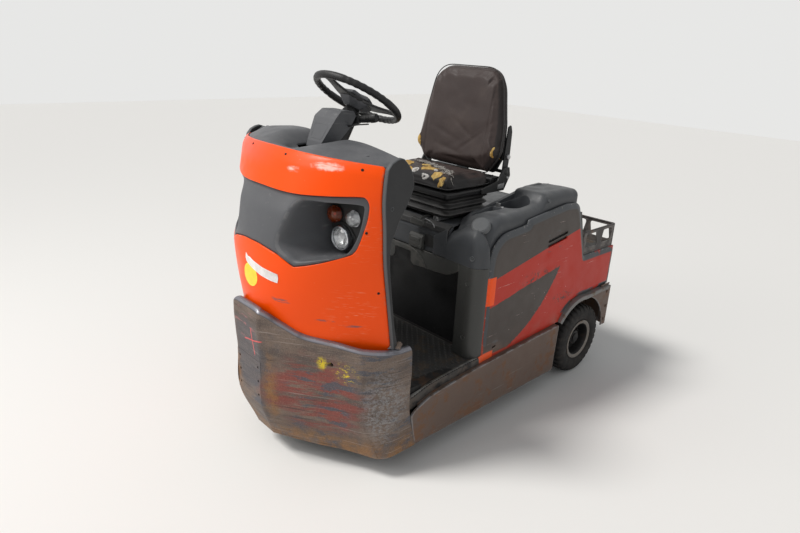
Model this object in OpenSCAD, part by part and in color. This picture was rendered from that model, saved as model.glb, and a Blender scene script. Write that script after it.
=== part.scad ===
// Airport baggage tug: a seated electric tow tractor on three wheels, one steered in
// front and two driven at the rear. Millimetres, +Z up, the front faces -Y and the
// driver's left side is +X. The origin is on the ground under the middle of the tug.

/* [Body] */
// Half of the width over the bumper and the sills
body_hw = 498; // [470:1:520]
// Step from the sills in to the painted side panels
panel_inset = 23; // [18:1:30]
// Thickness of a side panel
panel_t = 18; // [12:1:20]
// Rear face of the body
rear_y = 965; // [930:1:985]
// Top of the load deck
deck_z = 675; // [650:1:690]
// Top of the floor plate
floor_z = 350; // [335:1:360]
// Thickness of the floor plate
floor_t = 6; // [4:1:10]

/* [Wheels] */
// Radius of every tyre
tyre_r = 191; // [180:1:195]
// Width of every tyre
tyre_w = 110; // [95:1:114]
// Radius over the rim flanges
rim_r = 108; // [100:1:114]
// Rear axle, ahead of the rear face
axle_back = 260; // [253:1:270]
// Middle of a rear tyre, in from the body's side
track_inset = 62; // [61:1:70]
// Kingpin of the steered wheel
kingpin_y = -680; // [-690:1:-670]
// Radius of the kingpin
kingpin_r = 24; // [18:1:28]
// Radius of the stub axles under the wheels
axle_r = 18; // [14:1:20]
// Running gap round pins and shafts
run_gap = 0.05; // [0.02:0.01:0.1]

/* [Bumper] */
// Wall of the steel bumper
bumper_t = 14; // [8:1:16]
// Foremost face of the bumper
bumper_y = -1020; // [-1030:1:-1010]
// Roll of the bumper's top lip
lip_r = 22; // [16:1:28]
// Bottom of the bumper at its sides
bumper_z0 = 95; // [85:1:110]
// Half width of the flat coupling plate
plate_hw = 88; // [80:1:92]
// Radius of the bolt holes in the coupling plate
bolt_r = 5.5; // [4:0.5:7]
// Column spacing of those holes
bolt_dx = 138; // [120:1:144]
// Row spacing of those holes
bolt_dz = 62; // [50:1:66]

/* [Cowl] */
// Step from the bumper's side in to the front cowl
cowl_inset = 48; // [44:1:58]
// Wall of the plastic covers
cover_t = 8; // [6:1:10]
// How far the lamp mask reaches behind the edge of the cowl's opening
mask_lap = 8; // [5:1:12]
// Back of the lamp pockets
lamp_y = -735; // [-745:1:-725]
// Radius of a headlamp
headlamp_r = 45; // [38:1:48]

/* [Steering] */
// Radius of the steering wheel to the middle of its rim
swheel_r = 178; // [165:1:185]
// Radius of the rim's section
swheel_rim = 14; // [11:1:16]
// Lean of the column from the vertical
column_lean = 31; // [25:1:36]
// Height of the steering wheel's middle
swheel_z = 1442; // [1430:1:1450]
// Place of the steering wheel's middle
swheel_y = -480; // [-490:1:-470]

/* [Seat] */
// Half width of the seat
seat_hw = 245; // [235:1:250]
// Height of the seat's slide rails
rail_h = 18; // [12:1:24]
// Underside of the seat pan
pan_z = 1034; // [1030:1:1040]
// Front edge of the seat pan
pan_y = -180; // [-190:1:-170]
// Depth of the seat pan
pan_d = 380; // [370:1:390]
// Thickness of the seat cushion
cushion_t = 62; // [50:1:70]
// Top of the backrest
back_top_z = 1578; // [1570:1:1585]

/* [Hood] */
// Top of the hood's side lanes
lane_z = 1000; // [990:1:1010]
// Top of the raised blocks at the rear of the lanes
block_z = 1040; // [1030:1:1046]
// Top of the hood under the seat
hood_z = 920; // [912:1:924]
// Wall of the hood
hood_t = 10; // [8:1:14]
// Inner side of a lane
lane_x0 = 272; // [268:1:280]

/* [Basket] */
// Height of the basket's top rail
basket_z = 800; // [780:1:820]
// Plate thickness of the basket
basket_t = 6; // [4:1:8]

/* [Hidden] */

$fn = 48;

gap = 0.5;            // seam between fixed pieces
gap_touch = 0.3;      // seat of one piece on another
panel_x = body_hw - panel_inset;
panel_x0 = panel_x - panel_t;
cowl_hw = body_hw - cowl_inset;
sill_t = 12;
sill_x = body_hw - sill_t;
sill_foot = body_hw - 58;      // inner edge of the sill's bottom flange
sill_shelf = body_hw - 36;     // inner edge of the sill's top flange
rear_axle_y = rear_y - axle_back;
rear_track_x = body_hw - track_inset;
sill_y0 = -541;
sill_y1 = rear_axle_y - 242;
wide = body_hw / 498;          // share of the width that the plans are drawn at

// Cowl profiles, columns [height, y]: on the middle line and at the side edge
cowl_mid = [[520, -972], [665, -984], [800, -992], [937, -985], [1050, -960], [1148, -926],
            [1282, -888], [1340, -872]];
cowl_edge = [[520, -660], [609, -671], [772, -696], [921, -718], [1045, -726], [1153, -734],
             [1262, -725], [1340, -712]];
// Fullness of the nose in plan, columns [height, power]
cowl_power = [[520, 1.8], [650, 1.8], [900, 2.3], [1340, 2.4]];
deck_top = 528;       // top of the plate that carries the front covers

// Bumper's top edge, columns [x, height]
lip_line = [for (p = [[0, 690], [95, 684], [165, 642], [225, 606], [290, 592], [400, 577],
                      [498, 562]]) [p[0] * wide, p[1]]];
// How far each height has moved from the bottom plan to the top plan, columns [height, share]
lean_line = [[95, 0], [280, 0.9], [460, 0.9], [600, 1], [700, 1]];

// Mask outline, right half, columns [x, height]
mask_half = [[0, 1143], [173, 1141], [300, 1149], [392, 1157], [412, 1152], [421, 1130],
             [420, 1100], [415, 1065], [398, 985], [388, 958], [370, 941], [297, 907],
             [225, 884], [208, 884], [176, 903], [135, 921], [60, 936], [0, 938]];
// Lamp pocket's mouth, columns [x, height]
pocket_mouth = [[222, 1130], [300, 1138], [388, 1146], [405, 1138], [410, 1110], [404, 1062],
                [388, 988], [362, 948], [297, 919], [222, 899], [196, 908], [140, 960],
                [176, 1085], [196, 1120]];
// Lamp pocket's floor, columns [x, height]
pocket_floor = [[192, 1092], [255, 1112], [352, 1118], [372, 1108], [374, 1060], [356, 980],
                [330, 940], [262, 922], [214, 938], [186, 1010]];
// Lamps, columns [x, height, radius]
headlamp_at = [262, 977];
indicator_at = [214, 1052, 24];
position_at = [318, 1062, 22];

function cowl_y(x, z) =
    let (mid = lookup(z, cowl_mid), edge = lookup(z, cowl_edge))
    mid + (edge - mid) * pow(abs(x) / cowl_hw, lookup(z, cowl_power));
cowl_bottom = deck_top + gap_touch;
function cowl_top(x) = 1285 - 23 * pow(x / cowl_hw, 2);
function mix(a, b, s) = a + (b - a) * s;
function steps(a, b, n) = [for (i = [0:n]) a + (b - a) * i / n];
function arc2(cx, cy, r, a0, a1, n) =
    [for (a = steps(a0, a1, n)) [cx + r * cos(a), cy + r * sin(a)]];
function unit2(p) = p / norm(p);

// Extrudes a [y, z] outline from x0 to x1
module along_x(x0, x1) {
    translate([x0, 0, 0])
        rotate([90, 0, 90])
            linear_extrude(x1 - x0) children();
}

// Extrudes an [x, z] outline from y0 to y1
module along_y(y0, y1) {
    translate([0, y1, 0])
        rotate([90, 0, 0])
            linear_extrude(y1 - y0) children();
}

// Extrudes an [x, y] outline from z0 to z1
module along_z(z0, z1) {
    translate([0, 0, z0])
        linear_extrude(z1 - z0) children();
}

module box(low, high) {
    translate(low) cube(high - low);
}

module both_sides() {
    children();
    mirror([1, 0, 0]) children();
}

// Closed solid between two grids of points; rows run along +X, columns upward or rearward
module sheet_solid(outer, inner) {
    n = len(outer);
    m = len(outer[0]);
    points = concat([for (row = outer) each row], [for (row = inner) each row]);
    o = function(i, j) i * m + j;
    q = function(i, j) n * m + i * m + j;
    faces = [
        for (i = [0:n - 2], j = [0:m - 2]) each [
            [o(i, j), o(i, j + 1), o(i + 1, j + 1)],
            [o(i, j), o(i + 1, j + 1), o(i + 1, j)],
            [q(i, j), q(i + 1, j + 1), q(i, j + 1)],
            [q(i, j), q(i + 1, j), q(i + 1, j + 1)]
        ],
        for (j = [0:m - 2]) each [
            [o(0, j + 1), o(0, j), q(0, j)],
            [o(0, j + 1), q(0, j), q(0, j + 1)],
            [o(n - 1, j), o(n - 1, j + 1), q(n - 1, j + 1)],
            [o(n - 1, j), q(n - 1, j + 1), q(n - 1, j)]
        ],
        for (i = [0:n - 2]) each [
            [o(i, 0), o(i + 1, 0), q(i + 1, 0)],
            [o(i, 0), q(i + 1, 0), q(i, 0)],
            [o(i + 1, m - 1), o(i, m - 1), q(i, m - 1)],
            [o(i + 1, m - 1), q(i, m - 1), q(i + 1, m - 1)]
        ]
    ];
    polyhedron(points, faces, convexity = 6);
}

// Slab that follows the cowl's face between two depths behind it
module cowl_slab(d0, d1, lift0 = 0, lift1 = 0) {
    columns = steps(-cowl_hw, cowl_hw, 28);
    levels = steps(0, 1, 10);
    grid = function(d) [for (x = columns) [for (s = levels)
        let (z = mix(cowl_bottom + lift0, cowl_top(x) - lift1, s)) [x, cowl_y(x, z) + d, z]]];
    sheet_solid(grid(d0), grid(d1));
}

module mask_outline() {
    polygon(concat(mask_half, [for (i = [len(mask_half) - 2:-1:1])
        [-mask_half[i][0], mask_half[i][1]]]));
}

// Bumper's plan, half of it from the middle outwards, at its bottom and at its top
function bumper_bottom() = concat(
    [for (p = [[0, -945], [60, -945], [160, -895], [270, -832], [370, -773]]) [p[0] * wide, p[1]]],
    arc2(body_hw - 80, -663, 80, -56, 0, 5), [[body_hw, -600], [body_hw, sill_y0]]);
function bumper_top() = concat(
    [for (p = [[0, 0], [90, 0], [175, 63], [260, 127], [330, 179]]) [p[0] * wide, bumper_y + p[1]]],
    arc2(body_hw - 251, -600, 251, -50, -10, 5), [[body_hw - 1, -600], [body_hw, -588]]);
bumper_rows = concat([for (z = [bumper_z0, 180, 280, 460]) [z, 0]],
                     [for (a = [0, 30, 60, 90]) [-1, a]]);

module bumper_skin() {
    low = bumper_bottom();
    high = bumper_top();
    last = len(low) - 1;
    half = [for (k = [0:last]) [for (row = bumper_rows)
        let (top = lookup(high[k][0], lip_line),
             z = row[0] > 0 ? row[0] : top - lip_r + lip_r * sin(row[1]),
             s = lookup(z, lean_line),
             flat = low[k] + (high[k] - low[k]) * s,
             before = k == 0 ? [-100, flat[1]] : low[k - 1] + (high[k - 1] - low[k - 1]) * s,
             after = k == last ? flat + [0, 40] : low[k + 1] + (high[k + 1] - low[k + 1]) * s,
             t = unit2(after - before),
             inward = [-t[1], t[0]],
             a = row[0] > 0 ? 0 : row[1],
             under = lip_r - bumper_t)
        [flat + inward * lip_r * (1 - cos(a)), z,
         flat + inward * (lip_r - under * cos(a)), z - bumper_t * sin(a)]]];
    outer = [for (k = [-last:last]) [for (p = half[abs(k)])
        [sign(k) * p[0][0], p[0][1], p[1]]]];
    inner = [for (k = [-last:last]) [for (p = half[abs(k)])
        [sign(k) * p[2][0], p[2][1], p[3]]]];
    sheet_solid(outer, inner);
}

module front_bumper() {
    color("dimgray") difference() {
        bumper_skin();
        box([-plate_hw - gap, bumper_y - 20, 280 - gap], [plate_hw + gap, -900, 460 + gap]);
    }
}

plate_front = bumper_y + 7.5;

module coupling_plate() {
    color("gray") difference() {
        box([-plate_hw, plate_front, 280], [plate_hw, plate_front + bumper_t, 460]);
        for (x = [-bolt_dx / 2, bolt_dx / 2], k = [-1, 0, 1])
            translate([x, plate_front - 1, 370 + k * bolt_dz])
                rotate([-90, 0, 0]) cylinder(r = bolt_r, h = bumper_t + 2);
    }
}

// Sill: side plate with a top flange that carries the floor and a bottom flange
function bumper_end_y(z) = mix(sill_y0, -588, lookup(z, lean_line));
sill_outline = [[sill_y0 + gap, bumper_z0], [sill_y1 - 6, bumper_z0], [sill_y1 + 4, 345],
                [sill_y1 - 2, 350], [-130, 322], [-440, 290], [-500, 268], [-540, 246],
                [bumper_end_y(232) + gap, 232]];
module sill() {
    color("saddlebrown") union() {
        along_x(sill_x, body_hw) polygon(sill_outline);
        along_x(sill_foot, sill_x)
            polygon([[sill_y0 + gap, bumper_z0], [sill_y1 - 6, bumper_z0],
                     [sill_y1 - 6, bumper_z0 + 10], [sill_y0 + gap, bumper_z0 + 10]]);
        along_x(sill_shelf, sill_x)
            polygon([[-500, 256], [-440, 278], [-130, 310], [sill_y1 - 2, 338], [sill_y1 - 2, 350],
                     [-130, 322], [-440, 290], [-500, 268]]);
    }
}
module sill_left() { sill(); }
module sill_right() { mirror([1, 0, 0]) sill(); }

module floor_plate() {
    color("darkslategray") difference() {
        box([-sill_shelf + 2, -560, floor_z - floor_t], [sill_shelf - 2, bay_y0, floor_z]);
        translate([0, kingpin_y, 0]) cylinder(r = tunnel_r + tunnel_t + gap_touch, h = 2 * floor_z);
    }
}

rail_x1 = body_hw - 153;
rail_x0 = rail_x1 - 45;
rail_z0 = 236;
rail_z1 = 336;
bay_y0 = -126;        // front of the battery bay
deck_t = 8;
floor_z0 = floor_z - floor_t;
tunnel_r = 244;       // wheel tunnel of the steered wheel
tunnel_t = 12;
tunnel_top = 480;
neck_top = deck_top - deck_t;
foot_z = bumper_z0 + 10;
cross_y = rear_y - 65;        // rear face of the last cross member

// Chassis: rails, cross members, wheel tunnel and the neck that carries the kingpin
module chassis() {
    side_x = panel_x0 - gap_touch;
    color("dimgray") difference() {
        union() {
            both_sides() {
                box([rail_x0, -430, rail_z0], [rail_x1, rear_y - 25, rail_z1]);
                for (y = [-430, sill_y1 - 40])
                    box([rail_x1, y, foot_z], [sill_foot, y + 12, rail_z1]);
                box([rail_x0, -560, 300], [side_x, -430, floor_z0]);
                box([rail_x1, -430, 316], [side_x, bay_y0, floor_z0]);
                box([sill_foot, -560, foot_z], [side_x, sill_y1 - 28, floor_z0]);
            }
            box([-rail_x0, -430, rail_z0], [rail_x0, bay_y0, rail_z0 + 8]);
            box([-rail_x0, kingpin_y + tunnel_r - 6, rail_z0], [rail_x0, kingpin_y + tunnel_r + 12,
                floor_z0]);
            box([-rail_x0, bay_y0, 300], [rail_x0, sill_y1 - 3, rail_z1]);
            box([-rail_x0, bay_y0 - 60, rail_z0], [rail_x0, bay_y0, floor_z0]);
            box([-rail_x0, 520, 296], [rail_x0, 560, rail_z1]);
            box([-rail_x0, cross_y - 20, rail_z0], [rail_x0, cross_y, rail_z1]);
            translate([0, kingpin_y, 300]) cylinder(r = tunnel_r + tunnel_t, h = 196);
            translate([0, kingpin_y, 496]) cylinder(r = 62, h = neck_top - 496);
        }
        translate([0, kingpin_y, 400]) cylinder(r = kingpin_r + run_gap, h = 200);
        translate([0, kingpin_y, 100]) cylinder(r = tunnel_r, h = tunnel_top - 100);
        box([-rail_x0, -1000, 200], [rail_x0, kingpin_y - 80, 600]);
    }
}

// Bumper's plan at one height, moved inwards
function bumper_inside(z, inset) =
    let (low = bumper_bottom(), high = bumper_top(), s = lookup(z, lean_line),
         flat = [for (k = [0:len(low) - 1]) low[k] + (high[k] - low[k]) * s],
         half = [for (k = [1:len(low) - 2]) let (t = unit2(flat[k + 1] - flat[k - 1]))
             flat[k] + [-t[1], t[0]] * inset])
    concat(half, [for (k = [len(half) - 1:-1:0]) [-half[k][0], half[k][1]]]);
module front_deck() {
    color("black") difference() {
        along_z(deck_top - deck_t, deck_top)
            polygon(bumper_inside(neck_top, bumper_t + 3));
        translate([0, kingpin_y, 500]) cylinder(r = 40, h = 100);
    }
}

module front_cowl() {
    color("orangered") difference() {
        cowl_slab(0, cover_t);
        along_y(-1100, -600) mask_outline();
    }
}

module pocket(y0, y1, grow) {
    hull() {
        along_y(y0, y0 + 1) offset(delta = grow) polygon(pocket_mouth);
        along_y(y1 - 1, y1) offset(delta = grow) polygon(pocket_floor);
    }
}

module lamp_mask() {
    color("dimgray") difference() {
        union() {
            intersection() {
                cowl_slab(cover_t + gap_touch, cover_t + gap_touch + 6);
                along_y(-1100, -600) offset(delta = mask_lap) mask_outline();
            }
            difference() {
                both_sides() pocket(-990, lamp_y, 4);
                cowl_slab(-400, cover_t + gap_touch + 3);
            }
        }
        both_sides() pocket(-990.5, lamp_y - 4, 0);
    }
}

module lamp_holders() {
    color("darkgray") both_sides() difference() {
        along_y(lamp_y - 4 - 10, lamp_y - 4 - gap) offset(delta = -4) polygon(pocket_floor);
        translate([headlamp_at[0], lamp_y, headlamp_at[1]])
            rotate([90, 0, 0]) cylinder(r = headlamp_r - 6, h = 40, center = true);
    }
}

module lamp(at, r, depth) {
    translate([at[0], lamp_y - 14 - gap, at[1]]) rotate([90, 0, 0]) {
        cylinder(r = r, h = depth);
        translate([0, 0, depth]) intersection() {
            translate([0, 0, -r * 1.1]) sphere(r = r * 1.486);
            cylinder(r = r - 1, h = r);
        }
    }
}
module headlamps() {
    color("lightgray") both_sides() lamp(headlamp_at, headlamp_r, 22);
}
module indicator_lamps() {
    color("orange") both_sides() lamp(indicator_at, indicator_at[2], 16);
}
module position_lamps() {
    color("white") both_sides() lamp(position_at, position_at[2], 16);
}

// Cheek behind the cowl's side edge, columns [y, height]
cheek_line = [[-625, 1275], [-590, 1235], [-570, 1205], [-560, 1172], [-566, 1140], [-589, 1105],
              [-611, 1060], [-640, 1000], [-650, 950], [-655, 835], [-648, 720], [-630, 600],
              [-628, 528.3]];
module cowl_cheeks() {
    color("dimgray") both_sides() difference() {
        along_x(cowl_hw - 24, cowl_hw + 6) polygon(concat(
            [for (z = steps(cowl_bottom, 1262, 12)) [lookup(z, cowl_edge) + 2, z]], cheek_line));
        cowl_slab(-60, cover_t + 3, -30, -30);
        dash_sheet(-80, cover_t + gap_touch);
    }
}

// Inner wall of the cowl towards the driver's legs, columns [y, height]
shield_line = [[-640, cowl_bottom], [-650, 720], [-655, 950], [-612, 1090], [-600, 1180],
               [-612, 1240], [-612, 1345]];
module shield_profile(grow = 0) {
    n = len(shield_line);
    polygon(concat([for (p = shield_line) p + [grow, 0]],
                   [for (i = [n - 1:-1:0]) shield_line[i] - [10 + grow, 0]]));
}
// Space ahead of that wall, for what ends on it
module shield_space() {
    polygon(concat([for (p = shield_line) p + [gap_touch, 0]], [[-760, 1345], [-760, cowl_bottom]]));
}
module leg_shield() {
    color("black") difference() {
        along_x(-cowl_hw + 25, cowl_hw - 25) shield_profile();
        dash_sheet(-200, cover_t + gap_touch);
        box([-binnacle_hw - gap, -640, binnacle_z0 - gap_touch], [binnacle_hw + gap, -560, 1500]);
        column_frame() translate([0, 0, -400]) cylinder(r = 39, h = 400);
    }
}

// Dash: two lobes beside a valley, height over the plan
function dash_z(x, s) =
    let (a = abs(x), rim = cowl_top(x),
         lobe = a < 70 ? 0 : a < 160 ? (a - 70) / 90 : a < 250 ? 1 : max(0, 1 - (a - 250) / 190))
    rim + 4 + (48 * lobe + 8) * sin(min(1, s * 1.6) * 90) - 14 * s * s;
dash_back_y = -606;
module dash_sheet(d0, d1) {
    columns = steps(-cowl_hw + 2, cowl_hw - 2, 32);
    depths = steps(0, 1, 8);
    front = function(x) cowl_y(x, cowl_top(x)) + cover_t + gap;
    grid = function(drop) [for (x = columns) [for (s = depths)
        [x, mix(front(x), dash_back_y, s), dash_z(x, s) - drop]]];
    sheet_solid(grid(d0), grid(d1));
}
module dash_cover() {
    color("dimgray") difference() {
        dash_sheet(0, cover_t);
        box([-binnacle_hw - gap, -717, 1200], [binnacle_hw + gap, -560, 1500]);
    }
}

// Instrument box ahead of the column, columns [y, height]
binnacle_hw = 68;
binnacle_z0 = 1262;
binnacle_back = [[-628, binnacle_z0], [-569, 1335], [-538, 1381], [-546, 1392]];
binnacle_profile = concat([[-716, binnacle_z0]], binnacle_back,
                          [[-650, 1414], [-672, 1406], [-690, 1380]]);
module binnacle() {
    color("dimgray") along_x(-binnacle_hw, binnacle_hw) polygon(binnacle_profile);
}

// Column frame: its Z axis is the steering column, its origin the wheel's middle
module column_frame() {
    translate([0, swheel_y, swheel_z]) rotate([-column_lean, 0, 0]) children();
}

shaft_r = 12;
module column_cover() {
    color("black") difference() {
        column_frame() translate([0, 0, -260]) cylinder(r = 38, h = 218);
        along_x(-binnacle_hw - 1, binnacle_hw + 1) polygon(concat([[-780, 1200]],
            [[binnacle_back[0][0] + 0.5, 1200]], [for (p = binnacle_back) p + [0.5, 0]],
            [[-700, 1430]]));
        along_x(-60, 60) shield_space();
        column_frame() translate([0, 0, -300]) cylinder(r = shaft_r + run_gap, h = 400);
    }
}

module control_stalk() {
    color("black") column_frame() difference() {
        translate([34, 0, -92]) rotate([0, 72, 12]) union() {
            cylinder(r = 11, h = 32);
            cylinder(r = 7, h = 82);
            translate([0, 0, 80]) cylinder(r = 12, h = 34);
        }
        translate([0, 0, -200]) cylinder(r = 38 + gap_touch, h = 200);
    }
}

module pedals() {
    color("black") for (x = [-360, -272])
        along_x(x - 36, x + 36) polygon([[-430, floor_z + gap_touch], [-430, floor_z + 12],
            [-488, floor_z + 16], [-532, floor_z + 108], [-544, floor_z + 102],
            [-506, floor_z + 14], [-506, floor_z + gap_touch]]);
}

// Front of the battery bay: two round corner posts and the apron between them
module portal() {
    post_x = panel_x - 67;
    post = concat([[post_x - 56, -100], [post_x - 56, -170]], arc2(post_x, -124, 64, -110, 0, 7),
                  arc2(post_x, -124, 50, 0, -110, 6), [[post_x - 42, -162], [post_x - 42, -100]]);
    apron_x = post_x - 12;
    color("dimgray") union() {
        both_sides() along_z(floor_z, 776) polygon(post);
        along_y(-184, -172) polygon([[-apron_x, 700], [apron_x, 700], [apron_x, 776],
            [-apron_x, 776]]);
    }
}

module battery() {
    color("darkslategray") box([-rail_x1 - 35, -90, rail_z1], [rail_x1 + 35, sill_y1 - 43, 800]);
}

arch_y = rear_axle_y - 20;
arch_z = 200;
arch_r = 250;

// Side panel outline, columns [y, height]
panel_outline = concat(
    [[-122, 322.8], [-118, 765]],
    arc2(12, 790, 125, 172, 96, 8),
    [[133, 926], [141, 946], [440, 980]],
    arc2(505, 912, 62, 88, 15, 5),
    [[661, deck_z], [rear_y, deck_z], [rear_y, 452], [rear_y - 107, 452]],
    arc2(arch_y, arch_z, arch_r, 80, 143, 14),
    [[sill_y1 + 6, 351]]);
module side_panel() {
    color("firebrick") difference() {
        along_x(panel_x0, panel_x) polygon(panel_outline);
        for (dz = [0, -22])
            along_x(panel_x0 - 1, panel_x + 1)
                translate([382, 828 + dz]) rotate(8) square([156, 9], center = true);
    }
}
module side_panel_left() { side_panel(); }
module side_panel_right() { mirror([1, 0, 0]) side_panel(); }

module bulkhead() {
    color("dimgray") union() {
        along_x(-panel_x0 + gap_touch, panel_x0 - gap_touch)
            polygon([[580, 916], [592, 916], [674, deck_base + gap_touch],
                     [662, deck_base + gap_touch]]);
        for (x = [-200, 200]) {
            for (dx = [-42, 32]) along_x(x + dx, x + dx + 10)
                polygon([[580, 914], [594, 914], [594, 938], [580, 938]]);
            translate([x - 42, hinge_y, hinge_z]) rotate([0, 90, 0]) cylinder(r = 4, h = 84);
        }
    }
}
hinge_y = 587;
hinge_z = 930;
deck_base = deck_z - 3;

module deck_plate() {
    color("gray") union() {
        box([-panel_x0 + gap_touch, 662, deck_z - 13], [panel_x0 - gap_touch, rear_y, deck_base]);
        box([-panel_x0 + 14, 682, deck_base - 1], [panel_x0 - 14, rear_y - 22, deck_z]);
    }
}

// Rear steelwork: wheel arches with their lips, rear wall, legs and the coupling bay
wall_t = 12;
frame_top = deck_z - 13 - gap_touch;
skirt_z = 214;
hitch_bay = [118, 250, 550];      // half width, bottom and top of the coupling bay
tail_lamp_at = [panel_x - 75, 600];
tail_lamp_r = 42;
module rear_frame() {
    wall_y = rear_y - wall_t;
    color("saddlebrown") difference() {
        union() {
            both_sides() {
                along_x(rail_x1, rail_x1 + wall_t) difference() {
                    polygon([[sill_y1 - 23, rail_z1 + 1], [sill_y1 - 23, frame_top], [wall_y, frame_top],
                             [wall_y, skirt_z], [rear_y - 85, skirt_z]]);
                    translate([rear_axle_y, tyre_r]) circle(r = 60);
                }
                along_x(rail_x1 + wall_t, body_hw - 6) difference() {
                    translate([arch_y, arch_z]) circle(r = arch_r - gap);
                    translate([arch_y, arch_z]) circle(r = arch_r - 10);
                    translate([300, -100]) square([700, 452]);
                    translate([rear_y - 65, -100]) square([100, 600]);
                }
                along_x(panel_x0, body_hw - 6)
                    polygon([[rear_y - 49, skirt_z], [rear_y, skirt_z], [rear_y, 451],
                             [rear_y - 105, 451], [rear_y - 59, 320]]);
            }
            box([-panel_x0, wall_y, skirt_z], [panel_x0, rear_y, frame_top]);
            box([-hitch_bay[0] - wall_t, cross_y, 240], [hitch_bay[0] + wall_t, cross_y + wall_t, 560]);
            both_sides() box([hitch_bay[0], cross_y + wall_t, 240],
                             [hitch_bay[0] + wall_t, wall_y, 560]);
        }
        box([-hitch_bay[0], cross_y + wall_t, hitch_bay[1]], [hitch_bay[0], rear_y + 1, hitch_bay[2]]);
        for (s = [-1, 1]) translate([s * tail_lamp_at[0], rear_y - 20, tail_lamp_at[1]])
            rotate([-90, 0, 0]) cylinder(r = tail_lamp_r, h = 40);
    }
}

module tail_lamps() {
    color("darkred") for (s = [-1, 1])
        translate([s * tail_lamp_at[0], rear_y - 24, tail_lamp_at[1]])
            rotate([-90, 0, 0]) cylinder(r = tail_lamp_r - gap, h = 26);
}

// Basket: flat plates with cut-outs round the load deck
basket_y0 = 652;
module basket() {
    x1 = panel_x0 - 1;
    y1 = rear_y - 8;
    z0 = deck_base + gap_touch;
    pitch = (y1 - basket_y0 - 16) / 3;
    span = (x1 - 16) / 3;
    color("dimgray") union() {
        both_sides() along_x(x1 - basket_t, x1) difference() {
            polygon([[basket_y0 + 24, z0], [y1, z0], [y1, basket_z], [basket_y0 + 2, basket_z],
                     [basket_y0 + 2, 740]]);
            for (k = [0, 1, 2])
                translate([basket_y0 + 26 + k * pitch, z0 + 27]) square([pitch - 16, basket_z - z0 - 43]);
        }
        along_y(y1 - basket_t, y1) difference() {
            polygon([[-x1, z0], [x1, z0], [x1, basket_z], [-x1, basket_z]]);
            for (k = [-2.5:2.5])
                translate([k * span, (z0 + basket_z) / 2 + 4]) square([span - 22, 84], center = true);
        }
    }
}

module rear_axle() {
    color("dimgray") translate([0, rear_axle_y, tyre_r]) rotate([0, 90, 0]) union() {
        cylinder(r = 45, h = 2 * rail_x1 - 70, center = true);
        cylinder(r = axle_r, h = 2 * rear_track_x + 50, center = true);
        for (s = [-1, 1]) translate([0, 0, s * (rail_x1 - 120)]) cylinder(r = 88, h = 140, center = true);
    }
    color("dimgray") both_sides()
        box([rail_x1 - 59, rear_axle_y - 50, tyre_r - 30], [rail_x1, rear_axle_y + 50, rail_z0 - gap_touch]);
}

jaw_y = rear_y + 11;
jaw_pin_r = 13;
jaw_t = 16;
jaw_levels = [300, 380];
jaw_top = jaw_levels[1] + jaw_t;
jaw_y0 = rear_y - 39;
module tow_hitch() {
    color("black") difference() {
        union() {
            box([-70, cross_y + wall_t + gap_touch, 280], [70, jaw_y0, jaw_top + 24]);
            for (z = jaw_levels) along_z(z, z + jaw_t) union() {
                translate([-50, jaw_y0]) square([100, jaw_y - jaw_y0]);
                translate([0, jaw_y]) circle(r = 44);
            }
        }
        translate([0, jaw_y, 280]) cylinder(r = jaw_pin_r + run_gap, h = 200);
    }
}

module tow_pin() {
    color("silver") union() {
        translate([0, jaw_y, 292]) cylinder(r = jaw_pin_r, h = jaw_top + 2 - 292);
        translate([0, jaw_y, jaw_top + gap_touch]) cylinder(r = 22, h = 8);
        translate([0, jaw_y, jaw_top + 4]) cylinder(r = 9, h = 34);
    }
}

hood_z0 = 776.5;
// Lane of the hood seen from the side, columns [y, height]
lane_profile = concat(
    [[-186, hood_z0]], arc2(-66, 866, 120, 180, 96, 8),
    [[40, 995], [250, lane_z], [275, block_z - 6], [290, block_z], [440, block_z]],
    arc2(505, 985, 55, 88, 10, 5), [[570, 926], [560, 918]],
    [[-90, 918], [-100, hood_z0]]);

module lane_shape() {
    front_x = panel_x - 7;
    inner_x = panel_x - 26;
    intersection() {
        along_x(lane_x0, panel_x - 5) polygon(lane_profile);
        union() {
            along_y(-190, -126) polygon(concat([[lane_x0, 770], [lane_x0, 1050], [front_x - 68, 1050]],
                arc2(front_x - 68, 900, 68, 75, 0, 5), [[front_x, 770]]));
            along_y(-126, 580) polygon(concat([[lane_x0, 770], [lane_x0, 1050], [inner_x - 109, 1050]],
                arc2(inner_x - 99, 950, 99, 80, 5, 6), [[inner_x, 770]]));
        }
    }
}

module battery_hood() {
    color("dimgray") difference() {
        union() {
            both_sides() lane_shape();
            box([-lane_x0 - 1, -186, hood_z - hood_t], [lane_x0 + 1, 575, hood_z]);
            along_y(-186, -176) polygon([[-panel_x + 15, hood_z0], [panel_x - 15, hood_z0],
                [panel_x - 35, 860], [lane_x0, 912], [-lane_x0, 912], [-panel_x + 35, 860]]);
            for (x = [-200, 200]) difference() {
                union() {
                    translate([x - 30, hinge_y, hinge_z]) rotate([0, 90, 0]) cylinder(r = 9, h = 60);
                    box([x - 30, 570, hood_z - 3.5], [x + 30, hinge_y, hood_z + 8]);
                }
                translate([x - 31, hinge_y, hinge_z]) rotate([0, 90, 0])
                    cylinder(r = 4 + run_gap, h = 62);
            }
        }
        both_sides() {
            translate([325, 20, 960]) along_z(0, 100) square([60, 120], center = true);
            translate([350, 165, 940]) along_z(0, 120) union() {
                square([110, 90], center = true);
                translate([0, 45]) circle(r = 55);
                translate([0, -45]) circle(r = 55);
            }
            box([lane_x0 + 12, -160, 700], [panel_x - 35, 545, 925]);
        }
    }
}

module seat_rails() {
    color("gray") both_sides() box([150, -150, hood_z], [186, 190, hood_z + rail_h]);
}

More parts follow.
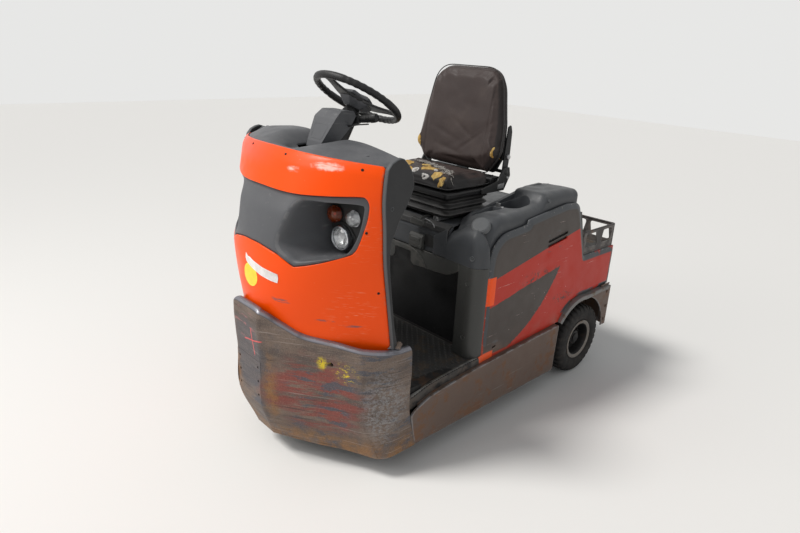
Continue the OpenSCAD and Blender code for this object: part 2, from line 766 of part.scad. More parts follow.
bellows_z0 = hood_z + rail_h + gap_touch;
fold_h = (pan_z - gap_touch - bellows_z0) / 3;
module seat_bellows() {
    ring = function(inset) [2 * (seat_hw - inset), 320 - 2 * inset];
    color("black") union() {
        for (k = [0, 1, 2]) translate([0, -10, bellows_z0 + k * fold_h]) hull() {
            along_z(0, 3) square(ring(26), center = true);
            along_z(fold_h / 2 - 2, fold_h / 2 + 2) square(ring(12), center = true);
            along_z(fold_h - 3, fold_h) square(ring(26), center = true);
        }
    }
}

module seat_pan() {
    color("black") union() {
        box([-seat_hw - 5, pan_y, pan_z], [seat_hw + 5, pan_y + pan_d, pan_z + 22]);
        both_sides() difference() {
            along_x(seat_hw + 5, seat_hw + 15)
                polygon([[40, pan_z], [pan_y + pan_d, pan_z], [238, 1100], [228, 1140],
                         [186, 1140], [150, 1080], [40, pan_z + 22]]);
            translate([seat_hw, back_pivot[1], back_pivot[2]]) rotate([0, 90, 0])
                cylinder(r = 8 + run_gap, h = 20);
        }
    }
}

module seat_cushion() {
    color("saddlebrown") translate([0, 0, pan_z + 22 + 0.3]) hull() {
        box([-seat_hw, pan_y + 10, 0], [seat_hw, 130, cushion_t - 26]);
        box([-seat_hw + 24, pan_y + 30, 0], [seat_hw - 24, 120, cushion_t]);
    }
}

back_pivot = [0, 205, 1118];
module backrest_shell() {
    color("black") union() {
        along_x(-seat_hw + 8, seat_hw - 8)
            polygon([[196.5, 1104], [222, 1104], [246, back_top_z - 90], [238, back_top_z - 22],
                     [222.5, back_top_z - 60]]);
        translate([-seat_hw - 12, back_pivot[1], back_pivot[2]]) rotate([0, 90, 0])
            cylinder(r = 8, h = 2 * seat_hw + 24);
    }
}

module backrest_cushion() {
    color("saddlebrown") hull() {
        along_x(-seat_hw, seat_hw) polygon([[126, 1136], [192, 1136], [220, back_top_z - 70],
            [160, back_top_z - 70]]);
        along_x(-seat_hw + 60, seat_hw - 60) polygon([[136, 1104], [190, 1104],
            [222, back_top_z - 60], [222, back_top_z], [186, back_top_z]]);
    }
}

module steering_wheel() {
    color("black") column_frame() difference() {
        union() {
            rotate_extrude($fn = 96) translate([swheel_r, 0]) circle(r = swheel_rim, $fn = 32);
            for (a = [-90, 30, 150]) rotate(a) translate([24, -22, -13])
                cube([swheel_r - 24, 44, 8]);
            translate([0, 0, -36]) cylinder(r = 48, h = 31.7);
        }
        translate([0, 0, -60]) cylinder(r = shaft_r, h = 80);
    }
}

module steering_hub() {
    color("dimgray") column_frame() union() {
        translate([0, 0, -4]) cylinder(r = 46, h = 16);
        translate([0, 0, -240]) cylinder(r = shaft_r, h = 240);
    }
}

// Steered fork: kingpin, crown and two legs down to the wheel's axle
module fork() {
    color("dimgray") union() {
        translate([0, kingpin_y, 436]) cylinder(r = kingpin_r, h = 94);
        translate([0, kingpin_y, 410]) cylinder(r = 92, h = 30);
        both_sides() {
            box([68, kingpin_y - 40, tyre_r - 40], [84, kingpin_y + 40, 424]);
        }
        translate([0, kingpin_y, tyre_r]) rotate([0, 90, 0])
            cylinder(r = axle_r, h = 168, center = true);
    }
}

module rim_profile() {
    polygon([[axle_r + run_gap, -30], [40, -30], [46, -14], [70, -8], [84, -10], [88, -44], [rim_r - 8, -48],
             [rim_r, -50], [rim_r, -44], [rim_r - 8, -40], [94, -36], [90, 0], [94, 36],
             [rim_r - 8, 40], [rim_r, 44], [rim_r, 50], [rim_r - 8, 48], [84, 44], [80, 2],
             [46, 4], [40, 30], [axle_r + run_gap, 30]]);
}
module rim() {
    rotate([0, 90, 0]) rotate_extrude($fn = 64) rim_profile();
}
module tyre() {
    rotate([0, 90, 0]) rotate_extrude($fn = 72)
        polygon([[rim_r + 0.5, -44], [rim_r + 10, -tyre_w / 2 + 6], [tyre_r - 40, -tyre_w / 2],
                 [tyre_r - 14, -tyre_w / 2 + 6], [tyre_r - 2, -tyre_w / 2 + 18],
                 [tyre_r, -tyre_w / 2 + 30], [tyre_r, tyre_w / 2 - 30],
                 [tyre_r - 2, tyre_w / 2 - 18], [tyre_r - 14, tyre_w / 2 - 6],
                 [tyre_r - 40, tyre_w / 2], [rim_r + 10, tyre_w / 2 - 6], [rim_r + 0.5, 44],
                 [95, 35], [91, 0], [95, -35]]);
}
front_wheel_at = [0, kingpin_y, tyre_r];
rear_wheel_at = [rear_track_x, rear_axle_y, tyre_r];
module rim_front() { color("dimgray") translate(front_wheel_at) rim(); }
module tyre_front() { color("black") translate(front_wheel_at) tyre(); }
module rim_left() { color("dimgray") translate(rear_wheel_at) rim(); }
module tyre_left() { color("black") translate(rear_wheel_at) tyre(); }
module rim_right() { mirror([1, 0, 0]) rim_left(); }
module tyre_right() { mirror([1, 0, 0]) tyre_left(); }

chassis();
floor_plate();
sill_left();
sill_right();
front_bumper();
coupling_plate();
front_deck();
front_cowl();
lamp_mask();
lamp_holders();
headlamps();
indicator_lamps();
position_lamps();
cowl_cheeks();
leg_shield();
dash_cover();
binnacle();
column_cover();
control_stalk();
pedals();
portal();
battery();
side_panel_left();
side_panel_right();
bulkhead();
deck_plate();
rear_frame();
tail_lamps();
basket();
rear_axle();
tow_hitch();
tow_pin();
battery_hood();
seat_rails();
seat_bellows();
seat_pan();
seat_cushion();
backrest_shell();
backrest_cushion();
steering_wheel();
steering_hub();
fork();
rim_front();
tyre_front();
rim_left();
tyre_left();
rim_right();
tyre_right();
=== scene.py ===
import functools
import math
import random

import bmesh
import bpy
import numpy as np
from mathutils import Matrix, Vector, noise
from mathutils.bvhtree import BVHTree
from mathutils.geometry import delaunay_2d_cdt


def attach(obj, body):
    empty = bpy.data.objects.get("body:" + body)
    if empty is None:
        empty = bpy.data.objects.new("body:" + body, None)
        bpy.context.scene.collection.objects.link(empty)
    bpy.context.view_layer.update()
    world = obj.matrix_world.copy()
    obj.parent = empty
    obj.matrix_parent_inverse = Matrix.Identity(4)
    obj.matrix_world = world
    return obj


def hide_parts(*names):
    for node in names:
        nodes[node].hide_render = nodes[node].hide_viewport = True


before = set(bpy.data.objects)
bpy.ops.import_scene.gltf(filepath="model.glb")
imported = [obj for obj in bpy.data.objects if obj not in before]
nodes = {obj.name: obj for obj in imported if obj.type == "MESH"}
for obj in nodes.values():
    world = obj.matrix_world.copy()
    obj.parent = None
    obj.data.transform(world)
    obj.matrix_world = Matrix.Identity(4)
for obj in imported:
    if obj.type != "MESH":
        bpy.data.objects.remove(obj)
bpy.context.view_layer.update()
scene = bpy.context.scene
MM = 0.001

# Camera, light and floor

CAMERA_AT = (1.9664, -2.0794, 1.6568)
CAMERA_AZIMUTH = 46.273
CAMERA_DOWN = 20.104
CAMERA_ROLL = -2.803
LENS_MM = 27.412
SENSOR_MM = 36.0
CLIP_NEAR, CLIP_FAR = 0.05, 100.0
SUN_POWER = 2.25
SUN_SPREAD = 16
SUN_WAY = (0.42, 0.62, -1.0)
WARM_WHITE = (1.0, 0.98, 0.95)
COOL_WHITE = (0.92, 0.96, 1.0)
SKY_COLOR = (0.86, 0.88, 0.90, 1)
SKY_STRENGTH = 0.38
BACKDROP_COLOR = (0.80, 0.80, 0.79, 1)
FLOOR_COLOR = (0.84, 0.83, 0.81, 1)
FLOOR_HALF = 14.0
STAGE_Z = -0.0005


def make_camera():
    a, e, r = (math.radians(v) for v in (CAMERA_AZIMUTH, CAMERA_DOWN, CAMERA_ROLL))
    forward = Vector((-math.sin(a) * math.cos(e), math.cos(a) * math.cos(e), -math.sin(e)))
    level = Vector((math.cos(a), math.sin(a), 0.0))
    down = forward.cross(level)
    right = math.cos(r) * level + math.sin(r) * down
    lower = -math.sin(r) * level + math.cos(r) * down
    data = bpy.data.cameras.new("camera")
    data.sensor_width = SENSOR_MM
    data.lens = LENS_MM
    data.clip_start, data.clip_end = CLIP_NEAR, CLIP_FAR
    camera = bpy.data.objects.new("camera", data)
    scene.collection.objects.link(camera)
    basis = Matrix((right, -lower, -forward)).transposed()
    camera.matrix_world = Matrix.Translation(CAMERA_AT) @ basis.to_4x4()
    scene.camera = camera


def make_lamp(name, kind, power, color, way):
    """A lamp whose light falls along the given direction."""
    data = bpy.data.lights.new(name, kind)
    data.energy = power
    data.color = color
    lamp = bpy.data.objects.new(name, data)
    scene.collection.objects.link(lamp)
    lamp.rotation_euler = Vector(way).to_track_quat("-Z", "Y").to_euler()
    return lamp


def area_light(name, at, target, size, power, color):
    lamp = make_lamp(name, "AREA", power, color, Vector(target) - Vector(at))
    lamp.data.shape = "RECTANGLE"
    lamp.data.size, lamp.data.size_y = size
    lamp.location = at


def make_light():
    make_lamp("sun", "SUN", SUN_POWER, WARM_WHITE, SUN_WAY).data.angle = math.radians(SUN_SPREAD)
    area_light("key", (-1.4, -4.4, 3.2), (0.0, -0.3, 0.7), (2.4, 2.0), 60.0, WARM_WHITE)
    area_light("fill", (4.6, -0.8, 2.6), (0.0, 0.0, 0.6), (3.5, 3.0), 10.0, COOL_WHITE)
    world = bpy.data.worlds.new("studio")
    scene.world = world
    world.use_nodes = True
    tree = world.node_tree
    sky = tree.nodes["Background"]
    sky.inputs["Color"].default_value = SKY_COLOR
    sky.inputs["Strength"].default_value = SKY_STRENGTH
    pale = tree.nodes.new("ShaderNodeBackground")
    pale.inputs["Color"].default_value = BACKDROP_COLOR
    mix = tree.nodes.new("ShaderNodeMixShader")
    path = tree.nodes.new("ShaderNodeLightPath")
    seen = path.outputs["Is Camera Ray"]
    for ray in ("Is Transmission Ray", "Is Glossy Ray"):
        either = tree.nodes.new("ShaderNodeMath")
        either.operation = "MAXIMUM"
        tree.links.new(seen, either.inputs[0])
        tree.links.new(path.outputs[ray], either.inputs[1])
        seen = either.outputs[0]
    for source, socket in zip((seen, sky.outputs[0], pale.outputs[0]), mix.inputs):
        tree.links.new(source, socket)
    tree.links.new(mix.outputs[0], tree.nodes["World Output"].inputs["Surface"])


def make_floor():
    mesh = bpy.data.meshes.new("floor")
    s = FLOOR_HALF
    mesh.from_pydata([(-s, -s, 0), (s, -s, 0), (s, s, 0), (-s, s, 0)], [], [(0, 1, 2, 3)])
    floor = bpy.data.objects.new("floor", mesh)
    scene.collection.objects.link(floor)
    floor.location.z = STAGE_Z
    material = bpy.data.materials.new("floor")
    material.use_nodes = True
    shader = material.node_tree.nodes["Principled BSDF"]
    shader.inputs["Base Color"].default_value = FLOOR_COLOR
    shader.inputs["Roughness"].default_value = 0.9
    mesh.materials.append(material)


# Materials: every pattern is laid out in the object's own metres

def srgb(r, g, b):
    def linear(v):
        v /= 255.0
        return v / 12.92 if v <= 0.04045 else ((v + 0.055) / 1.055) ** 2.4
    return (linear(r), linear(g), linear(b))


def scaled(color, factor):
    return [v * factor for v in color]


PAINT_SOFT = 0.0012


class Look:
    """A node material that is built up from a ground colour and coats over it."""

    def __init__(self, name, metallic=0.0, specular=0.3, **constants):
        self.material = bpy.data.materials.new(name)
        self.material.use_nodes = True
        self.tree = self.material.node_tree
        self.shader = self.tree.nodes["Principled BSDF"]
        self.coords = self.node("TexCoord").outputs["Object"]
        self.base = None
        self.feed(self.shader, Metallic=metallic, Specular_IOR_Level=specular, **constants)

    def node(self, kind, **settings):
        node = self.tree.nodes.new("ShaderNode" + kind)
        for key, value in settings.items():
            setattr(node, key, value)
        return node

    def put(self, socket, value):
        if isinstance(value, bpy.types.NodeSocket):
            self.tree.links.new(value, socket)
        elif socket.type == "RGBA":
            socket.default_value = (*value, 1.0)
        else:
            socket.default_value = value

    def feed(self, node, **values):
        for key, value in values.items():
            self.put(node.inputs[key.replace("_", " ")], value)
        return node

    def noise(self, scale, detail=3.0, roughness=0.55, stretch=None, turn=(0, 0, 0)):
        vector = self.coords
        if stretch:
            angles = [math.radians(v) for v in turn]
            mapping = self.feed(self.node("Mapping"), Vector=vector, Scale=stretch, Rotation=angles)
            vector = mapping.outputs[0]
        node = self.feed(self.node("TexNoise"), Vector=vector, Scale=scale, Detail=detail,
                         Roughness=roughness)
        return node.outputs[0]

    def cells(self, scale):
        return self.feed(self.node("TexVoronoi"), Vector=self.coords, Scale=scale).outputs["Distance"]

    def axis(self, k):
        return self.feed(self.node("SeparateXYZ"), Vector=self.coords).outputs[k]

    def facing(self, k):
        """How far the surface looks along an axis of the object."""
        normal = self.node("NewGeometry").outputs["Normal"]
        return self.feed(self.node("SeparateXYZ"), Vector=normal).outputs[k]

    def math(self, operation, a, b=0.0):
        node = self.node("Math", operation=operation)
        self.put(node.inputs[0], a)
        self.put(node.inputs[1], b)
        return node.outputs[0]

    def times(self, a, b):
        return self.math("MULTIPLY", a, b)

    def plus(self, a, b):
        return self.math("ADD", a, b)

    def minus(self, a, b):
        return self.math("SUBTRACT", a, b)

    def both(self, *masks):
        return functools.reduce(self.times, masks)

    def either(self, *masks):
        return functools.reduce(lambda a, b: self.math("MAXIMUM", b, a), masks[::-1])

    def range(self, value, lo, hi, to_lo=0.0, to_hi=1.0):
        """Smooth step from to_lo to to_hi, as the value goes from lo to hi."""
        node = self.node("MapRange", interpolation_type="SMOOTHSTEP")
        self.feed(node, Value=value, From_Min=lo, From_Max=hi, To_Min=to_lo, To_Max=to_hi)
        return node.outputs[0]

    def along(self, k, lo, hi):
        return self.range(self.axis(k), lo, hi)

    def edges(self, lo, hi):
        """1 on the worn edges, which the pieces carry as a point attribute."""
        return self.range(self.node("Attribute", attribute_name="edge").outputs["Fac"], lo, hi)

    def patches(self, scale, detail, lo, hi, roughness=0.55):
        return self.range(self.noise(scale, detail, roughness), lo, hi)

    def streaks(self, stretch, lo, hi, turn=(0, 0, 0), detail=2.0, roughness=0.6):
        return self.range(self.noise(1.0, detail, roughness, stretch, turn), lo, hi)

    def specks(self, scale, radius, radius_in, where):
        return self.both(self.range(self.cells(scale), radius, radius_in), where)

    def sway(self, scale, detail, roughness, width):
        """Noise around zero, to make a line ragged."""
        return self.times(self.minus(self.noise(scale, detail, roughness), 0.5), width)

    def spot(self, centre, radii, soft=0.3, ragged=0.0, scale=60.0):
        """1 inside an ellipsoid in metres, falling to 0 over the soft share of its radius."""
        mapping = self.node("Mapping", vector_type="TEXTURE")
        self.feed(mapping, Vector=self.coords, Location=centre, Scale=radii)
        length = self.node("VectorMath", operation="LENGTH")
        self.put(length.inputs[0], mapping.outputs[0])
        far = length.outputs["Value"]
        if ragged:
            far = self.plus(far, self.times(self.noise(scale, 4.0), ragged))
            far = self.minus(far, ragged / 2)
        return self.range(far, 1.0, 1.0 - soft)

    def above(self, line, ragged):
        """1 above a line given by two (y, z) points."""
        (y0, z0), (y1, z1) = line
        length = math.hypot(y1 - y0, z1 - z0)
        ny, nz = -(z1 - z0) / length, (y1 - y0) / length
        far = self.plus(self.times(self.axis(1), ny), self.times(self.axis(2), nz))
        far = self.minus(far, y0 * ny + z0 * nz)
        return self.range(self.plus(far, self.sway(90.0, 4.0, 0.55, ragged)), -PAINT_SOFT, PAINT_SOFT)

    def mix(self, factor, a, b):
        node = self.node("Mix", data_type="RGBA")
        for k, value in ((0, factor), (6, a), (7, b)):
            self.put(node.inputs[k], value)
        return node.outputs[2]

    def ground(self, factor, a, b):
        self.base = self.mix(factor, a, b)

    def coat(self, mask, color, share=None):
        """Lays a colour over the base where the mask is 1, at most to the share."""
        self.base = self.mix(mask if share is None else self.times(mask, share), self.base, color)

    def uneven(self, scale, detail, lo, hi):
        return self.range(self.noise(scale, detail), 0.2, 0.8, lo, hi)

    def finish(self, rough, height, depth, strength):
        """Sets the base colour, the roughness and a bump of a depth in metres."""
        bump = self.node("Bump")
        self.feed(bump, Strength=strength, Distance=depth, Height=height)
        self.feed(self.shader, Base_Color=self.base, Roughness=rough, Normal=bump.outputs[0])
        return self


# Paint fields on the side panels, in metres along Y and up Z
UPPER_LINE = ((-0.051, 0.718), (0.437, 0.813))
SWOOSH_TOP = ((-0.06, 0.588), (0.438, 0.672))
SWOOSH_CENTRE = (-0.150, 0.960)
SWOOSH_R = 0.650
SWOOSH_SOFT = 0.0015
# The red marker cross on the bumper: ends of each stroke in x and z, and its width
CROSS = (((0.036, 0.598), (0.050, 0.476), 0.0022), ((-0.022, 0.530), (0.104, 0.556), 0.0024))


def cowl_look():
    k = Look("cowl_orange", specular=0.22)
    k.ground(k.noise(3.0, 3.0), srgb(248, 76, 2), srgb(255, 86, 4))
    grime = k.both(k.patches(9.0, 5.0, 0.55, 0.75, 0.65), k.along(2, 0.80, 0.53))
    k.coat(grime, srgb(170, 72, 40), 0.35)
    pale = k.both(k.streaks((16, 16, 260), 0.60, 0.70),
                  k.either(k.spot((0.39, -0.80, 0.70), (0.14, 0.12, 0.16), 0.6),
                           k.spot((0.40, -0.76, 1.0), (0.09, 0.12, 0.12), 0.6)))
    k.coat(pale, srgb(250, 150, 110), 0.7)
    white = k.both(k.streaks((16, 16, 150), 0.30, 0.56, (0, 10, 0), 4.0),
                   k.either(k.spot((0.150, -0.88, 1.224), (0.042, 0.05, 0.013), 0.8, 0.9),
                            k.spot((0.280, -0.83, 1.248), (0.080, 0.06, 0.018), 0.6, 0.9)))
    k.coat(white, srgb(246, 205, 192), 0.9)
    # Painted reflection: a pinkish sheen laid on the left of the cowl's top band.
    k.coat(k.both(k.along(2, 1.19, 1.25), k.along(0, 0.12, -0.22)), srgb(255, 98, 84), 0.55)
    dark = k.both(k.streaks((24, 24, 120), 0.42, 0.58, (0, -14, 0)),
                  k.either(k.spot((0.135, -0.93, 0.735), (0.062, 0.05, 0.016), 0.5, 0.7),
                           k.spot((0.29, -0.85, 0.672), (0.055, 0.05, 0.006), 0.6, 0.6),
                           k.spot((0.375, -0.79, 0.655), (0.06, 0.06, 0.007), 0.6, 0.6)))
    k.coat(dark, srgb(116, 92, 92), 0.85)
    k.coat(k.specks(55.0, 0.10, 0.06, k.patches(5.0, 2.0, 0.60, 0.68)), srgb(255, 170, 130), 0.6)
    k.coat(k.both(k.edges(0.55, 1.0), k.patches(40.0, 4.0, 0.5, 0.65)), srgb(205, 120, 92), 0.45)
    height = k.minus(k.times(k.noise(420.0, 2.0), 0.10), k.either(white, dark))
    return k.finish(k.uneven(14.0, 5.0, 0.28, 0.44), height, 0.0004, 0.5)


def grained_look(name, color, light, rough=0.55, scuff=0.5, dust=0.35):
    """Moulded plastic with a fine grain, pale scuffs and dust on what faces up."""
    k = Look(name)
    k.ground(k.noise(4.0, 3.0), color, scaled(color, 1.18))
    marks = k.both(k.streaks((45, 9, 60), 0.60, 0.72, (10, 25, 40), 4.0), k.patches(6.0, 2.0, 0.48, 0.62))
    k.coat(marks, light, scuff * 0.55)
    k.coat(k.both(k.edges(0.6, 1.0), k.patches(30.0, 4.0, 0.40, 0.62)), light, scuff * 0.6)
    k.coat(k.specks(60.0, 0.09, 0.05, k.patches(8.0, 2.0, 0.58, 0.66)), light, scuff)
    film = k.both(k.range(k.facing(2), 0.25, 0.95), k.patches(11.0, 5.0, 0.35, 0.75, 0.7))
    k.coat(film, light, dust * 0.6)
    height = k.plus(k.noise(1400.0, 2.0), k.times(marks, -0.3))
    return k.finish(k.uneven(20.0, 4.0, rough - 0.07, rough + 0.1), height, 0.00025, 0.35)


def cheek_look():
    """Grey at the front strip, with painted shade darkening the flank."""
    k = grained_look("cheek_plastic", srgb(78, 80, 82), srgb(128, 126, 124), 0.50, 0.7, 0.3)
    # Painted shade: faces that turn to either side are darkened.
    k.coat(k.range(k.math("ABSOLUTE", k.facing(0)), 0.80, 0.97), srgb(40, 40, 41), 0.9)
    k.feed(k.shader, Base_Color=k.base)
    return k


def marker_cross(k):
    """Hand-drawn strokes on the bumper's nose."""
    strokes = []
    for (x0, z0), (x1, z1), wide in CROSS:
        length = math.hypot(x1 - x0, z1 - z0)
        ux, uz = (x1 - x0) / length, (z1 - z0) / length
        along = k.plus(k.times(k.axis(0), ux), k.times(k.axis(2), uz))
        along = k.math("ABSOLUTE", k.minus(along, (x0 + x1) / 2 * ux + (z0 + z1) / 2 * uz))
        across = k.plus(k.times(k.axis(0), -uz), k.times(k.axis(2), ux))
        across = k.minus(across, (z0 + z1) / 2 * ux - (x0 + x1) / 2 * uz)
        across = k.math("ABSOLUTE", k.plus(across, k.sway(25.0, 2.0, 0.55, 0.006)))
        strokes.append(k.both(k.range(across, wide * 1.5, wide * 0.6),
                              k.range(along, length / 2, length / 2 - 0.01)))
    return k.both(k.either(*strokes), k.along(1, -0.93, -0.96))


def bumper_look():
    k = Look("bumper_steel", specular=0.4)
    k.ground(k.streaks((4, 4, 12), 0.34, 0.66, detail=5.0, roughness=0.65), srgb(88, 77, 71),
             srgb(122, 105, 93))
    red = k.both(k.streaks((5, 5, 30), 0.40, 0.54, detail=6.0, roughness=0.70),
                 k.spot((0.27, -0.88, 0.345), (0.25, 0.3, 0.20), 0.45, 0.7, 8.0))
    k.coat(red, srgb(132, 62, 54), 0.88)
    blue = k.both(k.streaks((8, 8, 38), 0.52, 0.58, detail=5.0, roughness=0.68),
                  k.patches(4.5, 3.0, 0.42, 0.56))
    k.coat(blue, srgb(78, 80, 88), 0.9)
    k.coat(k.spot((0.0, -1.01, 0.47), (0.13, 0.12, 0.20), 0.35, 0.6, 12.0), srgb(84, 81, 84), 0.88)
    pink = k.both(k.streaks((16, 16, 60), 0.56, 0.64, (0, 30, 0), 5.0),
                  k.spot((-0.03, -1.01, 0.60), (0.13, 0.12, 0.085), 0.6, 0.6, 20.0))
    k.coat(pink, srgb(158, 108, 108), 0.8)
    crease = k.either(k.spot((0.118, -0.98, 0.34), (0.040, 0.3, 0.26), 0.9, 0.9, 16.0),
                      k.spot((-0.10, -0.98, 0.32), (0.05, 0.3, 0.30), 0.9, 0.9, 16.0))
    ochre = k.both(k.either(crease, k.along(2, 0.215, 0.12)), k.patches(18.0, 6.0, 0.36, 0.60, 0.72))
    k.coat(ochre, srgb(142, 100, 54), 0.8)
    side = k.both(k.spot((0.47, -0.70, 0.33), (0.075, 0.16, 0.22), 0.7, 0.8, 10.0),
                  k.streaks((60, 60, 95), 0.45, 0.56, detail=6.0, roughness=0.82))
    k.coat(side, srgb(146, 145, 146), 0.75)
    grit = k.noise(210.0, 5.0, 0.8)
    k.coat(k.range(grit, 0.50, 0.62), srgb(54, 44, 40), 0.45)
    k.coat(k.range(grit, 0.44, 0.34), srgb(168, 152, 138), 0.35)
    soot = k.both(k.streaks((4, 4, 130), 0.56, 0.66, (0, -2, 0), 4.0), k.patches(6.0, 3.0, 0.40, 0.60))
    k.coat(soot, srgb(58, 46, 42), 0.6)
    bright = k.both(k.streaks((2.6, 2.6, 210), 0.60, 0.70, (0, 3, 0), 4.0),
                    k.streaks((3, 3, 12), 0.46, 0.62, detail=3.0, roughness=0.5))
    k.coat(bright, srgb(190, 178, 170), 0.65)
    lip = k.both(k.edges(0.35, 0.75), k.patches(22.0, 5.0, 0.22, 0.40))
    k.coat(lip, srgb(86, 86, 91), 0.9)
    # Worn bare steel on the lip's crest, coated pale as a painted highlight.
    polish_and_highlight = k.both(k.edges(0.80, 0.98), k.patches(12.0, 3.0, 0.26, 0.50))
    k.coat(polish_and_highlight, srgb(142, 142, 150), 0.6)
    yellow = k.either(k.spot((0.2925, -0.90, 0.497), (0.024, 0.2, 0.036), 0.8, 0.9, 70.0),
                      k.both(k.spot((0.375, -0.83, 0.470), (0.060, 0.2, 0.055), 0.8, 0.8, 50.0),
                             k.streaks((50, 50, 90), 0.53, 0.58, detail=6.0, roughness=0.80)))
    thin = k.streaks((70, 70, 130), 0.38, 0.50, detail=5.0, roughness=0.7)
    k.coat(k.both(yellow, thin), srgb(216, 190, 40))
    k.coat(marker_cross(k), srgb(226, 92, 92), 0.9)
    bare = k.either(polish_and_highlight, lip)
    rough = k.range(k.noise(1.0, 4.0, 0.6, (6, 6, 50)), 0.2, 0.8, 0.42, 0.68)
    k.feed(k.shader, Metallic=k.times(bare, 0.6))
    height = k.plus(k.noise(1.0, 4.0, 0.65, (8, 8, 170)), k.times(k.noise(130.0, 5.0, 0.7), 0.8))
    return k.finish(k.minus(rough, k.times(bare, 0.22)), height, 0.0012, 0.55)


def painted_steel(name, color, rust, share=0.5, light=(0.35, 0.33, 0.31), rough=0.55, metallic=0.1):
    """Paint over steel, rusty in patches, bare and pale along worn edges."""
    k = Look(name, metallic=metallic)
    k.ground(k.noise(5.0, 4.0, 0.6), color, scaled(color, 1.35))
    spread = 0.22 * share
    patch = k.range(k.plus(k.noise(13.0, 6.0, 0.68), k.times(k.noise(2.2, 2.0), 0.35)),
                    0.78 - spread, 0.90 - spread)
    k.coat(patch, rust)
    k.coat(k.patches(160.0, 4.0, 0.60, 0.72, 0.7), scaled(color, 0.55), 0.5)
    lines = k.both(k.streaks((5, 5, 150), 0.62, 0.70, (4, 0, 0), 3.0), k.patches(4.0, 2.0, 0.45, 0.6))
    k.coat(lines, light, 0.45)
    k.coat(k.both(k.edges(0.55, 1.0), k.patches(26.0, 5.0, 0.36, 0.58)), light, 0.7)
    height = k.plus(k.noise(90.0, 5.0, 0.7), k.times(patch, 0.5))
    even = k.uneven(18.0, 4.0, rough - 0.08, rough + 0.08)
    return k.finish(k.plus(even, k.times(patch, 0.18)), height, 0.0008, 0.4)


def panel_fields(k):
    """The dark fields and the orange tabs of the side panels."""
    upper = k.above(UPPER_LINE, 0.003)
    below = k.minus(1.0, k.above(SWOOSH_TOP, 0.010))
    dy = k.minus(k.axis(1), SWOOSH_CENTRE[0])
    dz = k.minus(k.axis(2), SWOOSH_CENTRE[1])
    far = k.math("SQRT", k.plus(k.both(dy, dy), k.both(dz, dz)))
    far = k.plus(far, k.sway(70.0, 5.0, 0.7, 0.022))
    arc_edge = k.range(far, SWOOSH_R + SWOOSH_SOFT, SWOOSH_R - SWOOSH_SOFT)
    swoosh = k.both(below, arc_edge, k.along(2, 0.345, 0.349))
    high_tab = k.both(k.along(2, 0.592, 0.596), k.along(2, 0.728, 0.724), k.along(1, -0.066, -0.070))
    low_tab = k.both(k.along(2, 0.366, 0.360), k.along(1, -0.040, -0.046))
    return k.either(upper, swoosh), k.either(high_tab, low_tab)


def panel_look():
    k = Look("panel_paint")
    red = k.mix(k.noise(2.5, 3.0), srgb(182, 38, 20), srgb(196, 46, 25))
    grey = k.mix(k.noise(3.5, 3.0), srgb(68, 60, 56), srgb(78, 70, 65))
    field, tabs = panel_fields(k)
    k.ground(field, red, grey)
    chips = k.both(k.patches(42.0, 6.0, 0.53, 0.57, 0.75),
                   k.either(k.spot((0.475, 0.24, 0.655), (0.1, 0.16, 0.045), 0.8),
                            k.spot((0.475, 0.49, 0.495), (0.1, 0.12, 0.04), 0.8),
                            k.spot((0.475, 0.40, 0.645), (0.1, 0.045, 0.05), 0.7)))
    chips = k.either(chips, k.both(k.patches(55.0, 6.0, 0.655, 0.69, 0.75), k.patches(3.0, 2.0, 0.50, 0.62)))
    k.coat(chips, srgb(70, 62, 60))
    white = k.both(k.streaks((30, 3.5, 190), 0.67, 0.71, (-9, 0, 0), 3.0), k.patches(9.0, 3.0, 0.52, 0.62))
    k.coat(white, srgb(214, 188, 180), 0.75)
    k.coat(k.specks(40.0, 0.075, 0.05, k.patches(7.0, 2.0, 0.55, 0.62)), srgb(224, 214, 206))
    k.coat(tabs, srgb(255, 88, 22))
    line = k.both(k.along(1, -0.1085, -0.1115), k.along(2, 0.60, 0.59))
    rim = k.both(k.edges(0.30, 0.48), k.either(k.along(2, 0.74, 0.76), k.patches(9.0, 4.0, 0.36, 0.46)),
                 k.minus(1.0, k.either(tabs, line)))
    k.coat(rim, srgb(78, 80, 83))
    k.coat(k.both(line, k.minus(1.0, tabs)), srgb(168, 56, 36))
    tail = k.both(k.along(1, 0.931, 0.936), k.patches(30.0, 4.0, 0.30, 0.40), k.along(2, 0.655, 0.650))
    k.coat(tail, srgb(74, 70, 70))
    k.coat(k.both(k.edges(0.6, 0.8), k.patches(60.0, 5.0, 0.58, 0.64, 0.7)), srgb(150, 146, 142), 0.6)
    k.coat(k.both(k.along(2, 0.46, 0.33), k.patches(10.0, 5.0, 0.4, 0.7)), srgb(150, 122, 104), 0.35)
    height = k.minus(k.times(k.noise(300.0, 3.0), 0.15), chips)
    return k.finish(k.uneven(15.0, 4.0, 0.34, 0.50), height, 0.0005, 0.6)


def vinyl_look():
    k = Look("seat_vinyl")
    k.ground(k.noise(3.0, 3.0), srgb(50, 41, 40), srgb(66, 55, 52))
    k.coat(k.patches(7.0, 5.0, 0.45, 0.75, 0.65), srgb(96, 84, 78), 0.22)
    # Painted shade: faces that turn to either side are darkened.
    k.coat(k.range(k.math("ABSOLUTE", k.facing(0)), 0.55, 0.85), srgb(33, 30, 30), 0.8)
    k.coat(k.both(k.along(2, 1.13, 1.115), k.along(1, 0.02, -0.04)), srgb(27, 25, 26))
    k.coat(k.both(k.edges(0.35, 0.9), k.patches(35.0, 4.0, 0.35, 0.6)), srgb(112, 98, 92), 0.35)
    height = k.plus(k.times(k.cells(330.0), 0.5), k.times(k.noise(60.0, 4.0), 1.2))
    return k.finish(k.range(k.noise(9.0, 3.0), 0.3, 0.7, 0.46, 0.60), height, 0.0009, 0.4)


